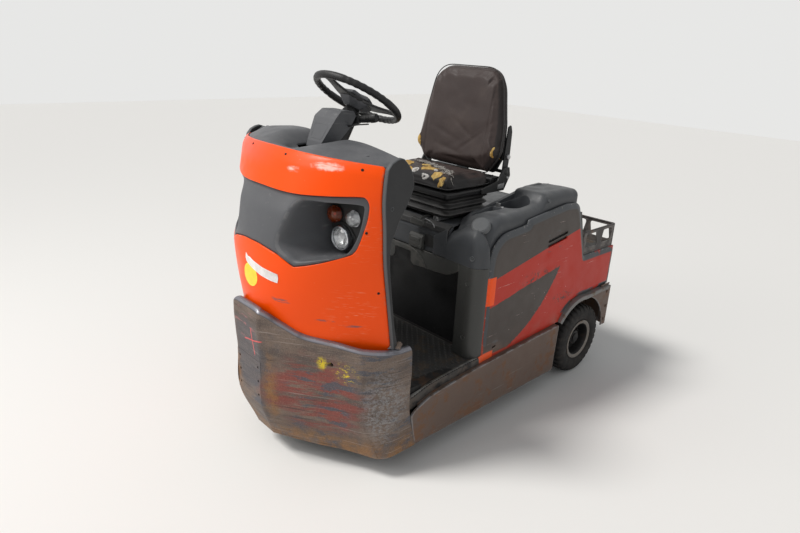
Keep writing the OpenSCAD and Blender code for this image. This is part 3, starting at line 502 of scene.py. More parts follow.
def foam_look():
    k = Look("torn_foam")
    k.ground(k.patches(38.0, 5.0, 0.35, 0.65), srgb(172, 132, 66), srgb(208, 178, 112))
    k.coat(k.patches(90.0, 4.0, 0.60, 0.72), srgb(120, 92, 52))
    return k.finish(0.95, k.noise(500.0, 4.0, 0.7), 0.0016, 0.8)


def simple_look(name, a, b, scale=20.0, rough=0.5, metallic=0.0, grain=600.0, depth=0.0003):
    """Two close tones in clouds, lighter along the edges."""
    k = Look(name, metallic=metallic, specular=0.5)
    k.ground(k.patches(scale, 5.0, 0.3, 0.7, 0.62), a, b)
    k.coat(k.both(k.edges(0.5, 1.0), k.patches(scale * 2, 4.0, 0.35, 0.6)),
           [min(1.0, v * 2.2 + 0.03) for v in b], 0.4)
    even = k.uneven(scale * 1.7, 3.0, max(0.02, rough - 0.06), min(1.0, rough + 0.08))
    return k.finish(even, k.noise(grain, 3.0), depth, 0.4)


def glass_look(name, color, rough=0.05):
    k = Look(name, Transmission_Weight=0.9, IOR=1.49)
    k.ground(k.patches(30.0, 4.0, 0.55, 0.8), color, [v * 0.8 + 0.05 for v in color])
    even = k.range(k.noise(40.0, 4.0), 0.4, 0.8, rough, rough + 0.12)
    return k.finish(even, k.noise(50.0, 2.0), 0.0004, 0.15)


def tyre_look():
    k = Look("tyre_rubber", specular=0.35)
    k.ground(k.noise(8.0, 4.0), srgb(28, 27, 27), srgb(38, 36, 35))
    k.coat(k.patches(24.0, 6.0, 0.45, 0.75, 0.7), srgb(84, 76, 68), 0.35)
    k.coat(k.edges(0.3, 1.0), srgb(70, 66, 62), 0.4)
    return k.finish(k.uneven(30.0, 3.0, 0.72, 0.9), k.noise(260.0, 4.0, 0.7), 0.0006, 0.5)


# Plastics: name, colour, scuff colour, roughness, scuffs, dust
PLASTICS = {
    "grey": ("grey_plastic", (82, 83, 86), (140, 139, 139), 0.46, 0.45, 0.30),
    "cap": ("cap_plastic", (88, 90, 92), (140, 138, 136), 0.5, 0.4, 0.3),
    "hood": ("hood_plastic", (66, 68, 71), (118, 117, 114), 0.40, 0.4, 0.40),
    "post": ("post_paint", (68, 68, 66), (112, 108, 102), 0.36, 0.6, 0.2),
    "black": ("black_plastic", (30, 30, 31), (92, 90, 88), 0.44, 0.35, 0.3),
    "liner": ("shield_plastic", (27, 27, 28), (66, 64, 62), 0.72, 0.3, 0.2),
    "dark": ("dark_plastic", (44, 43, 43), (96, 93, 90), 0.5, 0.4, 0.35),
}
# Painted steel: name, colour, rust, share of rust, bare colour, roughness, metallic
STEELS = {
    "sill": ("sill_steel", (98, 82, 73), (116, 86, 66), 0.32, (150, 150, 152), 0.50),
    "basket": ("basket_steel", (66, 62, 61), (104, 78, 62), 0.3, (128, 122, 118)),
    "frame": ("frame_steel", (34, 33, 33), (74, 56, 44), 0.35, (92, 88, 84)),
    "rail": ("deck_steel", (120, 118, 116), (112, 90, 72), 0.25, (168, 164, 158)),
    "tread": ("tread_plate", (64, 63, 62), (88, 78, 68), 0.35, (150, 144, 136), 0.5, 0.2),
    "iron": ("black_iron", (30, 30, 30), (64, 50, 40), 0.3, (100, 96, 92), 0.5, 0.3),
    "rim": ("rim_steel", (26, 25, 25), (52, 42, 36), 0.3, (60, 58, 56), 0.5, 0.2),
    "rim_edge": ("rim_flange", (118, 112, 106), (104, 86, 72), 0.3, (182, 178, 172), 0.42, 0.3),
}
# Plain materials: name, two tones, size of the clouds, roughness, metallic, grain, depth
PLAIN = {
    "socket": ("lamp_socket", (11, 11, 12), (24, 24, 24), 16.0, 0.62, 0.0, 260.0),
    "rubber": ("black_rubber", (26, 26, 27), (48, 47, 46), 14.0, 0.50, 0.0, 300.0),
    "lint": ("white_lint", (128, 122, 116), (196, 192, 186), 60.0, 0.95, 0.0, 900.0, 0.001),
    "zinc": ("zinc_steel", (140, 140, 142), (186, 186, 186), 60.0, 0.34, 0.85),
    "chrome": ("bright_bezel", (190, 192, 196), (220, 222, 226), 60.0, 0.16, 0.95),
    "mirror": ("reflector", (205, 206, 208), (232, 232, 232), 30.0, 0.12, 0.95, 80.0, 0.0006),
    "yellow": ("yellow_sticker", (236, 208, 40), (246, 222, 60), 30.0, 0.4),
    "white": ("white_sticker", (214, 208, 204), (240, 236, 234), 26.0, 0.55),
}
LINER_SPECULAR = 0.12
looks = {}


def make_looks():
    for key, (name, color, light, *rest) in PLASTICS.items():
        looks[key] = grained_look(name, srgb(*color), srgb(*light), *rest)
    for key, (name, color, rust, share, light, *rest) in STEELS.items():
        looks[key] = painted_steel(name, srgb(*color), srgb(*rust), share, srgb(*light), *rest)
    for key, (name, dark, light, *rest) in PLAIN.items():
        looks[key] = simple_look(name, srgb(*dark), srgb(*light), *rest)
    looks["liner"].feed(looks["liner"].shader, Specular_IOR_Level=LINER_SPECULAR)
    looks["cowl"] = cowl_look()
    looks["cheek"] = cheek_look()
    looks["bumper"] = bumper_look()
    looks["panel"] = panel_look()
    looks["vinyl"] = vinyl_look()
    looks["foam"] = foam_look()
    looks["tyre"] = tyre_look()
    looks["clear"] = glass_look("clear_lens", (0.94, 0.95, 0.95))
    looks["amber"] = glass_look("amber_lens", (0.75, 0.16, 0.02), 0.12)
    looks["red_lens"] = glass_look("red_lens", (0.55, 0.02, 0.02), 0.12)


# Geometry in millimetres

ON_AXIS = 1e-6
MERGE = 0.005
DEGENERATE = 0.0005
BEVEL_TURN = 28
SHARP_TURN = 40


def lookup(value, table):
    if value <= table[0][0]:
        return table[0][1]
    for (a, fa), (b, fb) in zip(table, table[1:]):
        if value <= b:
            return fa + (fb - fa) * (value - a) / (b - a)
    return table[-1][1]


def curve(value, table):
    """Smooth curve through the points of a table."""
    n = len(table)
    if value <= table[0][0]:
        return table[0][1]
    if value >= table[-1][0]:
        return table[-1][1]
    k = next(i for i in range(1, n) if value <= table[i][0])
    (x0, y0), (x1, y1) = table[k - 1], table[k]

    def slope(i):
        a, b = table[max(i - 1, 0)], table[min(i + 1, n - 1)]
        return (b[1] - a[1]) / (b[0] - a[0])
    h = x1 - x0
    t = (value - x0) / h
    return ((1 + 2 * t) * (1 - t) ** 2 * y0 + t * (1 - t) ** 2 * h * slope(k - 1)
            + t * t * (3 - 2 * t) * y1 + t * t * (t - 1) * h * slope(k))


def mixed(a, b, s):
    return a + (b - a) * s


def ease(s):
    s = min(1.0, max(0.0, s))
    return s * s * (3 - 2 * s)


def arc(cx, cy, r, a0, a1, n):
    return [(cx + r * math.cos(math.radians(mixed(a0, a1, i / n))),
             cy + r * math.sin(math.radians(mixed(a0, a1, i / n)))) for i in range(n + 1)]


def circle(cx, cy, r, count, ry=None):
    """Closed circle, or an ellipse whose half height is ry."""
    turns = [math.tau * k / count for k in range(count)]
    return [(cx + r * math.cos(a), cy + (ry or r) * math.sin(a)) for a in turns]


def spline(points, count, closed=False):
    """Smooth curve through points of any dimension."""
    pts = [Vector(p) for p in points]
    n = len(pts)
    spans = n if closed else n - 1
    out = []
    for i in range(count + (0 if closed else 1)):
        s = i / count * spans
        k = min(int(s), spans - 1)
        t = s - k
        if closed:
            a, b, c, d = (pts[(k + j) % n] for j in (-1, 0, 1, 2))
        else:
            a, b, c, d = (pts[min(max(k + j, 0), n - 1)] for j in (-1, 0, 1, 2))
        out.append(0.5 * ((2 * b) + (c - a) * t + (2 * a - 5 * b + 4 * c - d) * t * t
                          + (3 * b - a - 3 * c + d) * t ** 3))
    return out


def rounded(corners, n=5):
    """Closed outline from (x, y, radius) corners."""
    out = []
    count = len(corners)
    for i, (x, y, r) in enumerate(corners):
        p = Vector((x, y))
        a = Vector(corners[i - 1][:2]) - p
        b = Vector(corners[(i + 1) % count][:2]) - p
        if r <= 0:
            out.append(tuple(p))
            continue
        half = a.angle(b) / 2
        reach = min(r / math.tan(half), 0.49 * a.length, 0.49 * b.length)
        pa, pb = p + a.normalized() * reach, p + b.normalized() * reach
        for k in range(n + 1):
            t = k / n
            out.append(tuple(pa * (1 - t) ** 2 + p * 2 * t * (1 - t) + pb * t * t))
    return out


def resample(loop, step):
    out = []
    for a, b in zip(loop, list(loop[1:]) + [loop[0]]):
        a, b = Vector(a), Vector(b)
        n = max(1, math.ceil((b - a).length / step))
        out += [a.lerp(b, i / n) for i in range(n)]
    return out


def area(loop):
    return 0.5 * sum(a[0] * b[1] - b[0] * a[1] for a, b in zip(loop, list(loop[1:]) + [loop[0]]))


def offset(loop, d):
    """Moves a closed loop to its left by d."""
    n = len(loop)
    out = []
    for i in range(n):
        a, b, c = Vector(loop[i - 1]), Vector(loop[i]), Vector(loop[(i + 1) % n])
        t0, t1 = (b - a).normalized(), (c - b).normalized()
        m = Vector((-t0.y - t1.y, t0.x + t1.x))
        if m.length < 1e-6:
            m = Vector((-t0.y, t0.x))
        m.normalize()
        k = max(0.5, m.dot(Vector((-t0.y, t0.x))))
        out.append(b + m * (d / k))
    return out


def inside(points, loops):
    x, y = points[:, 0], points[:, 1]
    odd = np.zeros(len(points), bool)
    for loop in loops:
        a = np.array([tuple(p) for p in loop])
        b = np.roll(a, -1, axis=0)
        for (x0, y0), (x1, y1) in zip(a, b):
            span = (y0 > y) != (y1 > y)
            if span.any():
                odd[span] ^= x[span] < x0 + (x1 - x0) * (y[span] - y0) / (y1 - y0)
    return odd


def border_distance(points, loops):
    best = np.full(len(points), 1e9)
    for loop in loops:
        a = np.array([tuple(p) for p in loop])
        b = np.roll(a, -1, axis=0)
        for p, q in zip(a, b):
            d = q - p
            t = np.clip(((points - p) @ d) / max(d @ d, 1e-9), 0, 1)
            best = np.minimum(best, np.hypot(*(points - p - t[:, None] * d).T))
    return best


def fill(loops, step):
    """Triangles over an outline with holes; the loops' points keep their order."""
    border = [Vector(p) for loop in loops for p in loop]
    edges, start = [], 0
    for loop in loops:
        n = len(loop)
        edges += [(start + i, start + (i + 1) % n) for i in range(n)]
        start += n
    flat = np.array([tuple(p) for p in border])
    points = list(border)
    if step:
        lo, hi = flat.min(0), flat.max(0)
        xs = np.arange(lo[0] + step / 2, hi[0], step)
        ys = np.arange(lo[1] + step / 2, hi[1], step)
        grid = np.array([(x, y) for x in xs for y in ys]).reshape(-1, 2)
        if len(grid):
            grid = grid[inside(grid, loops)]
        if len(grid):
            grid = grid[border_distance(grid, loops) > 0.55 * step]
        points += [Vector(p) for p in grid]
    out = delaunay_2d_cdt(points, edges, [], 0, 1e-5)
    where = {}
    for new, olds in enumerate(out[3]):
        for old in olds:
            where[old] = new
    verts = [Vector(v) for v in out[0]]
    middles = np.array([tuple((verts[a] + verts[b] + verts[c]) / 3) for a, b, c in out[2]])
    keep = inside(middles, loops)
    tris = [tuple(t) for t, good in zip(out[2], keep) if good]
    return verts, tris, [where[i] for i in range(len(border))]


class Shell:
    """Points in millimetres, faces, and how close each point is to a worn edge."""

    def __init__(self):
        self.verts, self.faces, self.edge = [], [], []

    def add(self, verts, faces, edge=None):
        base = len(self.verts)
        self.verts += [Vector(v) for v in verts]
        self.faces += [tuple(base + i for i in f) for f in faces]
        self.edge += list(edge) if edge is not None else [0.0] * len(verts)
        return self

    def join(self, other, matrix=None, mirror=False):
        m = matrix or Matrix.Identity(4)
        flip = Matrix.Diagonal((-1, 1, 1, 1)) @ m if mirror else m
        return self.add([flip @ v for v in other.verts], other.faces, other.edge)

    def mirrored(self):
        out = Shell()
        out.join(self)
        return out.join(self, mirror=True)

    def moved(self, matrix):
        return Shell().join(self, matrix)

    def warp(self, function):
        self.verts = [Vector(function(v)) for v in self.verts]
        return self


def beveled(shell, width, segments=2):
    """Rounds the sharp edges of a closed shell."""
    bm = bmesh.new()
    verts = [bm.verts.new(v) for v in shell.verts]
    for f in shell.faces:
        bm.faces.new([verts[i] for i in f])
    bmesh.ops.remove_doubles(bm, verts=bm.verts, dist=0.01)
    bmesh.ops.recalc_face_normals(bm, faces=bm.faces)
    bmesh.ops.dissolve_limit(bm, angle_limit=math.radians(0.6), verts=bm.verts, edges=bm.edges)
    edges = [e for e in bm.edges if len(e.link_faces) == 2
             and e.calc_face_angle(0.0) > math.radians(BEVEL_TURN)]
    bmesh.ops.bevel(bm, geom=edges, offset=width, offset_type="OFFSET", segments=segments,
                    profile=0.5, affect="EDGES", clamp_overlap=True)
    out = Shell()
    bm.verts.ensure_lookup_table()
    bm.verts.index_update()
    out.add([v.co.copy() for v in bm.verts], [[v.index for v in f.verts] for f in bm.faces])
    bm.free()
    return out


PLANES = {
    "x": lambda u, v, w: (w, u, v),
    "y": lambda u, v, w: (u, w, v),
    "z": lambda u, v, w: (u, v, w),
}


def prism(axis, outline, lo, hi, bevel=0.0, segments=2, holes=()):
    """Outline with holes, drawn out along an axis from lo to hi."""
    place = PLANES[axis]
    loops = [[Vector(p) for p in outline]] + [[Vector(p) for p in h] for h in holes]
    out = Shell()
    if holes:
        verts, tris, ring = fill(loops, 0)
        n = len(verts)
        faces = tris + [tuple(n + i for i in reversed(t)) for t in tris]
    else:
        verts = loops[0]
        n = len(verts)
        ring = list(range(n))
        faces = [tuple(range(n)), tuple(n + i for i in reversed(range(n)))]
    start = 0
    for loop in loops:
        m = len(loop)
        for i in range(m):
            a, b = ring[start + i], ring[start + (i + 1) % m]
            faces.append((a, b, n + b, n + a))
        start += m
    out.add([place(*p, lo) for p in verts] + [place(*p, hi) for p in verts], faces)
    return beveled(out, bevel, segments) if bevel else out


def block(lo, hi, bevel=1.0, segments=2):
    (x0, y0, z0), (x1, y1, z1) = lo, hi
    return prism("z", [(x0, y0), (x1, y0), (x1, y1), (x0, y1)], z0, z1, bevel, segments)


def sheet(outline, holes, lift, t, step=14.0, r=2.0, arcs=3, worn=14.0):
    """Plate with rounded rims; lift(u, v, depth) places a point of its plane."""
    outline = [Vector(p) for p in outline]
    if area(outline) < 0:
        outline.reverse()
    loops = [resample(outline, step or 1e9)]
    for hole in holes:
        hole = [Vector(p) for p in hole]
        if area(hole) > 0:
            hole.reverse()
        loops.append(resample(hole, step or 1e9))
    rims = [offset(loop, r) for loop in loops]
    verts2, tris, ring = fill(rims, step)
    away = border_distance(np.array([tuple(v) for v in verts2]), loops)
    edge = [float(max(0.0, 1 - d / worn)) for d in away]
    n = len(verts2)
    out = Shell()
    verts = [lift(v.x, v.y, 0.0) for v in verts2] + [lift(v.x, v.y, t) for v in verts2]
    edges = edge + edge
    faces = tris + [tuple(n + i for i in reversed(f)) for f in tris]
    start = 0
    for loop in loops:
        m = len(loop)
        rows = [[ring[start + i] for i in range(m)]]
        places = []
        for a in range(1, arcs + 1):
            angle = math.pi / 2 * a / arcs
            places.append((r * (1 - math.sin(angle)), r * (1 - math.cos(angle))))
        for side in (0, 1):
            order = places if side == 0 else places[::-1]
            for out_by, deep in order:
                ring_pts = offset(loop, out_by) if out_by > 1e-6 else loop
                depth = deep if side == 0 else t - deep
                base = len(verts)
                verts += [lift(p.x, p.y, depth) for p in ring_pts]
                edges += [1.0] * m
                rows.append(list(range(base, base + m)))
        rows.append([n + ring[start + i] for i in range(m)])
        for a, b in zip(rows, rows[1:]):
            faces += [(a[i], a[(i + 1) % m], b[(i + 1) % m], b[i]) for i in range(m)]
        start += m
    return out.add(verts, faces, edges)


def flat(axis, at, sign=-1):
    """Lift onto a plane: depth runs from at towards sign along the axis."""
    place = PLANES[axis]
    return lambda u, v, d: place(u, v, at + sign * d)


def loft(rings, caps=True):
    """Skin over closed rings of equal counts."""
    m = len(rings[0])
    verts = [p for ring in rings for p in ring]
    faces = []
    for i in range(len(rings) - 1):
        for j in range(m):
            k = (j + 1) % m
            faces.append((i * m + j, i * m + k, (i + 1) * m + k, (i + 1) * m + j))
    if caps:
        faces.append(tuple(reversed(range(m))))
        faces.append(tuple((len(rings) - 1) * m + j for j in range(m)))
    return Shell().add(verts, faces)


def frames(path, closed=False):
    """Points of a path, each with two directions square to it that don't twist."""
    pts = [Vector(p) for p in path]
    n = len(pts)
    tangents = []
    for i in range(n):
        a = pts[i - 1] if i or closed else pts[0]
        b = pts[(i + 1) % n] if i < n - 1 or closed else pts[-1]
        tangents.append((b - a).normalized())
    up = Vector((0, 0, 1)) if abs(tangents[0].z) < 0.9 else Vector((1, 0, 0))
    side = tangents[0].cross(up).normalized()
    out = []
    for p, t in zip(pts, tangents):
        side = (side - t * side.dot(t)).normalized()
        out.append((p, side, t.cross(side)))
    return out


def tube(path, radius, sides=12, closed=False, radii=None, section=None):
    """Round bar along a path; section gives another outline in place of the circle."""
    outline = section or circle(0, 0, 1, sides)
    rings = []
    for i, (p, s, u) in enumerate(frames(path, closed)):
        r = radii[i] if radii else radius
        rings.append([p + s * (x * r) + u * (y * r) for x, y in outline])
    return loft(rings + rings[:1], caps=False) if closed else loft(rings)


def lathe(profile, matrix=None, segments=48):
    """Turns a closed (radius, height) outline round the Z axis of a matrix."""
    m = matrix or Matrix.Identity(4)
    n = len(profile)
    out = Shell()
    verts = [m @ Vector((r * x, r * y, h)) for x, y in circle(0, 0, 1, segments) for r, h in profile]
    faces = []
    for k in range(segments):
        a, b = k * n, (k + 1) % segments * n
        for i in range(n):
            j = (i + 1) % n
            if profile[i][0] > ON_AXIS or profile[j][0] > ON_AXIS:
                faces.append((a + i, a + j, b + j, b + i))
    return out.add(verts, faces)


OUT = (1, 0, 0)
BACK = (0, 1, 0)


def turned(x=0, y=0, z=0, axis=None, angle=0.0, toward=None):
    """Place of a small part: its Z axis points toward a direction."""
    m = Matrix.Translation((x, y, z))
    if toward is not None:
        m = m @ Vector(toward).to_track_quat("Z", "Y").to_matrix().to_4x4()
    if axis is not None:
        m = m @ Matrix.Rotation(math.radians(angle), 4, axis)
    return m


def dress(name, shell, look, body, slot=None, replaces=(), sharp=SHARP_TURN, soft=False):
    """Makes the object of a shell: metres, material, body and the nodes it stands for; the slot is not used.
    """
    bm = bmesh.new()
    layer = bm.verts.layers.float.new("edge")
    verts = []
    for v, e in zip(shell.verts, shell.edge):
        vert = bm.verts.new(v * MM)
        vert[layer] = e
        verts.append(vert)
    for f in shell.faces:
        ids = list(dict.fromkeys(f))
        if len(ids) > 2:
            try:
                bm.faces.new([verts[i] for i in ids])
            except ValueError:
                pass
    bmesh.ops.remove_doubles(bm, verts=bm.verts, dist=MERGE * MM)
    bmesh.ops.dissolve_degenerate(bm, edges=bm.edges, dist=DEGENERATE * MM)
    loose = [v for v in bm.verts if not v.link_faces]
    bmesh.ops.delete(bm, geom=loose, context="VERTS")
    bmesh.ops.recalc_face_normals(bm, faces=bm.faces)
    mesh = bpy.data.meshes.new(name)
    bm.to_mesh(mesh)
    bm.free()
    mesh.shade_smooth()
    mesh.set_sharp_from_angle(angle=math.radians(sharp))
    obj = bpy.data.objects.new(name, mesh)
    scene.collection.objects.link(obj)
    mesh.materials.append(looks[look].material)
    if not soft:
        apply_modifier(obj, "WEIGHTED_NORMAL", keep_sharp=True, weight=60)
    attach(obj, body)
    if replaces:
        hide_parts(*replaces)
    return obj


def apply_modifier(obj, kind, **settings):
    modifier = obj.modifiers.new(kind.lower(), kind)
    for key, value in settings.items():
        setattr(modifier, key, value)
    with bpy.context.temp_override(object=obj, active_object=obj, selected_objects=[obj]):
        bpy.ops.object.modifier_apply(modifier=modifier.name)


def wobble(p, scale, amount, seed=0.0):
    """Small even unevenness, as in pressed and dented sheet."""
    q = Vector((p[0] * scale + seed, p[1] * scale - seed, p[2] * scale + 2 * seed))
    return noise.noise(q) * amount


# Named sizes of the frame, in millimetres

BODY_HW = 498.0
REAR_WHEEL = (436.0, 705.0, 191.0)
FRONT_WHEEL = (0.0, -680.0, 191.0)
BUMPER_Y = -1020.0
BUMPER_T = 14.0
LIP_R = 22.0
BUMPER_Z0 = 95.0
SILL_Y0 = -541.0
REAR_Y = 965.0
PIN_Y = 976.0
PLATE_HW = 88.0
BOLT_ROWS = (308.0, 370.0, 432.0)
BOLT_X = 69.0
COWL_HW = 450.0
COVER_T = 8.0
COWL_BOTTOM = 528.3
LAMP_Y = -735.0
COWL_MID = [(520, -972), (665, -984), (800, -992), (937, -985), (1050, -960), (1148, -926),
            (1282, -888), (1340, -872)]
COWL_EDGE = [(520, -660), (609, -671), (772, -696), (921, -718), (1045, -726), (1153, -734),
             (1262, -725), (1340, -712)]
COWL_POWER = [(520, 1.8), (650, 1.8), (900, 2.3), (1340, 2.4)]
LIP_LINE = [(0, 690), (95, 684), (165, 642), (225, 606), (290, 592), (400, 577), (498, 562)]
LEAN_LINE = [(95, 0), (280, 0.9), (460, 0.9), (600, 1), (700, 1)]
MASK_HALF = [(0, 1143), (173, 1141), (300, 1149), (392, 1157), (412, 1152), (421, 1130),
             (420, 1100), (415, 1065), (398, 985), (388, 958), (370, 941), (297, 907),
             (225, 884), (208, 884), (176, 903), (135, 921), (60, 936), (0, 938)]
POCKET_MOUTH = [(222, 1130), (300, 1138), (388, 1146), (405, 1138), (410, 1110), (404, 1062),
                (388, 988), (362, 948), (297, 919), (222, 899), (196, 908), (140, 960),
                (176, 1085), (196, 1120)]
POCKET_FLOOR = [(192, 1092), (255, 1112), (352, 1122), (398, 1124), (404, 1112), (401, 1062),
                (384, 986), (354, 938), (262, 918), (214, 938), (186, 1010)]
POCKET_CENTRE = (286.0, 1024.0)
POCKET_STEPS = 96
POCKET_RINGS = 15
MOUTH_RINGS = 7
LAMP_FRONT = -749.5
HEADLAMP = (272.0, 977.0, 47.0)
INDICATOR = (227.0, 1057.0, 31.0)
POSITION = (333.0, 1062.0, 27.0)


def cowl_face(x, z):
    mid, edge = curve(z, COWL_MID), curve(z, COWL_EDGE)
    return mid + (edge - mid) * (min(abs(x), COWL_HW) / COWL_HW) ** lookup(z, COWL_POWER)


def cowl_top(x):
    return 1285 - 23 * (x / COWL_HW) ** 2


def shoulder(x, z):
    """Backward roll of the cowl's top band."""
    tall = 46 - 12 * abs(x) / COWL_HW
    s = max(0.0, (z - (cowl_top(x) - tall)) / tall)
    return 15.0 * s * s


def cowl_outline():
    right = [(COWL_HW, COWL_BOTTOM), (COWL_HW, 1244), (COWL_HW - 4, 1256),
             (COWL_HW - 13, cowl_top(COWL_HW) + 1)]
    tops = [(x, cowl_top(x)) for x in range(420, -421, -20)]
    return [(-COWL_HW, COWL_BOTTOM)] + right + tops + [(-x, z) for x, z in right[:0:-1]]


def mask_loop():
    loop = MASK_HALF + [(-x, z) for x, z in MASK_HALF[-2:0:-1]]
    return resample(spline(loop, 5 * len(loop), True), 14)


COWL_SCREWS = [(-145, 1268), (96, 1266), (392, 1249), (416, 1031), (437, 799), (-392, 1249), (-416, 1031),
               (-437, 799)]
SCREW_HEAD = [(0, -1), (4.8, -1), (5.2, 0.3), (4.4, 1.5), (2.4, 1.9), (2.2, 0.4), (0, 0.2)]
TORN_STICKER = [(-24, 884), (-8, 873), (6, 873), (24, 866), (52, 860), (84, 852), (112, 848), (154, 841),
                (156, 826), (151, 805), (122, 808), (96, 813), (70, 818), (46, 826), (20, 833), (-2, 842),
                (-18, 848), (-27, 862)]


def make_cowl():
    shell = sheet(cowl_outline(), [mask_loop()],
                  lambda x, z, d: (x, cowl_face(x, z) + shoulder(x, z) + d, z), COVER_T, 13, 3.2, worn=10)
    dress("front_cowl_skin", shell, "cowl", "tug", "cowl_plastic", ["front_cowl"])
    screws = Shell()
    for x, z in COWL_SCREWS:
        out = Vector((cowl_face(x + 4, z) - cowl_face(x - 4, z), -8,
                      cowl_face(x, z + 4) - cowl_face(x, z - 4)))
        at = turned(x, cowl_face(x, z) + shoulder(x, z), z, toward=out)
        screws.join(lathe(SCREW_HEAD, at, 18))
    dress("cowl_screws", screws, "iron", "tug", "bumper_steel")
    for name, look, outline, proud, thick, rim in (
            ("round_sticker", "yellow", circle(4, 801, 46, 40), 0.9, 0.8, 0.3),
            ("torn_sticker", "white", TORN_STICKER, 1.7, 0.7, 0.25)):
        label = sheet(outline, [], lambda x, z, d: (x, cowl_face(x, z) + (d - proud), z), thick, 9, rim, 1)
        dress(name, label, look, "tug", "cowl_plastic")


def polar(loop, centre, count):
    """Points of a loop seen from a centre inside it, at even angles."""
    n = len(loop)
    out = []
    for k in range(count):
        a = math.tau * k / count
        dx, dz = math.cos(a), math.sin(a)
        best = 0.0
        for i in range(n):
            (x0, z0), (x1, z1) = loop[i], loop[(i + 1) % n]
            ex, ez = x1 - x0, z1 - z0
            det = dx * -ez + dz * ex
            if abs(det) < 1e-9:
                continue
            px, pz = x0 - centre[0], z0 - centre[1]
            t = (px * -ez + pz * ex) / det
            u = (dx * pz - dz * px) / det
            if t > 0 and -1e-6 <= u <= 1 + 1e-6:
                best = max(best, t)
        out.append(best)
    return out


def mask_depth(x, z):
    """How far the mask's face lies behind the cowl's face."""
    top = 1141 + 16 * ease((abs(x) - 150) / 260)
    return 4.5 + 9.5 * ease((z - (top - 80)) / 80)


def mask_face(x, z):
    return cowl_face(x, z) + mask_depth(x, z)


def pocket_rings():
    """Rings of the right-hand lamp pocket from the mask's face down to its floor."""
    cx, cz = POCKET_CENTRE
    mouth = polar(spline(POCKET_MOUTH, 90, True), POCKET_CENTRE, POCKET_STEPS)
    floor = polar(spline(POCKET_FLOOR, 80, True), POCKET_CENTRE, POCKET_STEPS)
    rings = [[] for k in range(POCKET_RINGS)]
    for k in range(POCKET_STEPS):
        a = math.tau * k / POCKET_STEPS
        ux, uz = math.cos(a), math.sin(a)

        def at(s):
            r = mixed(mouth[k], floor[k], s)
            return Vector((cx + ux * r, mixed(-990.5, LAMP_Y - 4, s), cz + uz * r))
        lo, hi = 0.0, 1.0
        for halving in range(30):
            s = (lo + hi) / 2
            p = at(s)
            if p.y < mask_face(p.x, p.z):
                lo = s
            else:
                hi = s
        start = at(lo)
        left = ease(-ux * 0.9 + 0.1)
        soft = 4.0 + 24.0 * left
        outer_x, outer_z = start.x + ux * soft * 0.75, start.z + uz * soft * 0.75
        outer = Vector((outer_x, mask_face(outer_x, outer_z), outer_z))
        reach = (at(1.0) - start).length
        deep = min(0.8, soft / max(reach, 1.0))
        inner = at(mixed(lo, 1.0, deep))
        for j in range(MOUTH_RINGS):
            t = j / (MOUTH_RINGS - 1)
            rings[j].append(outer * (1 - t) ** 2 + start * 2 * t * (1 - t) + inner * t * t)
        for j in range(MOUTH_RINGS, POCKET_RINGS):
            t = (j - MOUTH_RINGS + 1) / (POCKET_RINGS - MOUTH_RINGS)
            rings[j].append(at(mixed(mixed(lo, 1.0, deep), 1.0, t)))
    return rings


def make_mask():
    rings = pocket_rings()
    m = POCKET_STEPS
    hole = [Vector((p.x, p.z)) for p in rings[0]]
    outer = mask_loop()
    if area(outer) < 0:
        outer.reverse()
    loops = [offset(outer, 6.5), hole[::-1], [Vector((-p.x, p.y)) for p in hole]]
    verts2, tris, ring = fill(loops, 12)
    verts = [Vector((v.x, mask_face(v.x, v.y), v.y)) for v in verts2]
    faces = list(tris)
    n0 = len(loops[0])
    edge = [0.0] * len(verts)
    last = ring[:n0]
    for out_by, deep in ((4.5, 0.7), (3.2, 2.2), (2.6, 4.4), (2.5, 7.5), (-7.0, 9.0)):
        pts = offset(outer, out_by)
        base = len(verts)
        for p in pts:
            depth = mask_depth(p.x, p.y) + deep
            if out_by < 2.6:
                depth = max(depth if deep < 9 else 0, COVER_T + 1.2)
            verts.append(Vector((p.x, cowl_face(p.x, p.y) + depth, p.y)))
        edge += [1.0 if out_by > 2.55 else 0.0] * n0
        rows = list(range(base, base + n0))
        faces += [(last[i], rows[i], rows[(i + 1) % n0], last[(i + 1) % n0]) for i in range(n0)]
        last = rows
    for side in (0, 1):
        start = n0 + side * m
        ids = ring[start:start + m]
        if side == 0:
            ids = list(reversed(ids))
        for j in range(1, POCKET_RINGS):
            base = len(verts)
            verts += [Vector((p.x if side == 0 else -p.x, p.y, p.z)) for p in rings[j]]
            edge += [0.9 if 1 <= j <= 3 else 0.0] * m
            row = list(range(base, base + m))
            for i in range(m):
                k = (i + 1) % m
                face = (ids[i], ids[k], row[k], row[i])
                faces.append(face if side == 0 else tuple(reversed(face)))
            ids = row
    shell = Shell().add(verts, faces, edge)
    obj = dress("lamp_mask_skin", shell, "grey", "tug", "grey_plastic", ["lamp_mask"], soft=True)
    walled(obj, 2.2, (0, -1, 0), 50)


BEZEL_LIP = [(-8, 2), (-1, 2), (0, 6), (0, 20), (-2.5, 25), (-6, 26), (-8, 22), (-9, 10)]
BEZEL_SEAT = [(-14, 4), (-11, 4), (-10, 9), (-13, 10)]
DISH = [(36.5, 21), (33, 13), (26, 6), (16, 2), (7, 0), (2.5, -1)]
HEAD_LENS = [(0, 30.0), (14, 29.2), (26, 26.6), (34, 22.8), (36.6, 20), (36.6, 17.5), (33, 20.4),
             (25, 24.2), (14, 26.8), (0, 27.6)]
HEAD_BULB = [(0, 22), (3, 21.4), (5, 18), (5.6, 12), (4.6, 4), (4.6, -1), (0, -1)]
SMALL_BULB = [(0, 17), (4, 16), (7, 12), (7.4, 8), (5, 3), (5, 0), (0, 0)]
FLUTES = 12


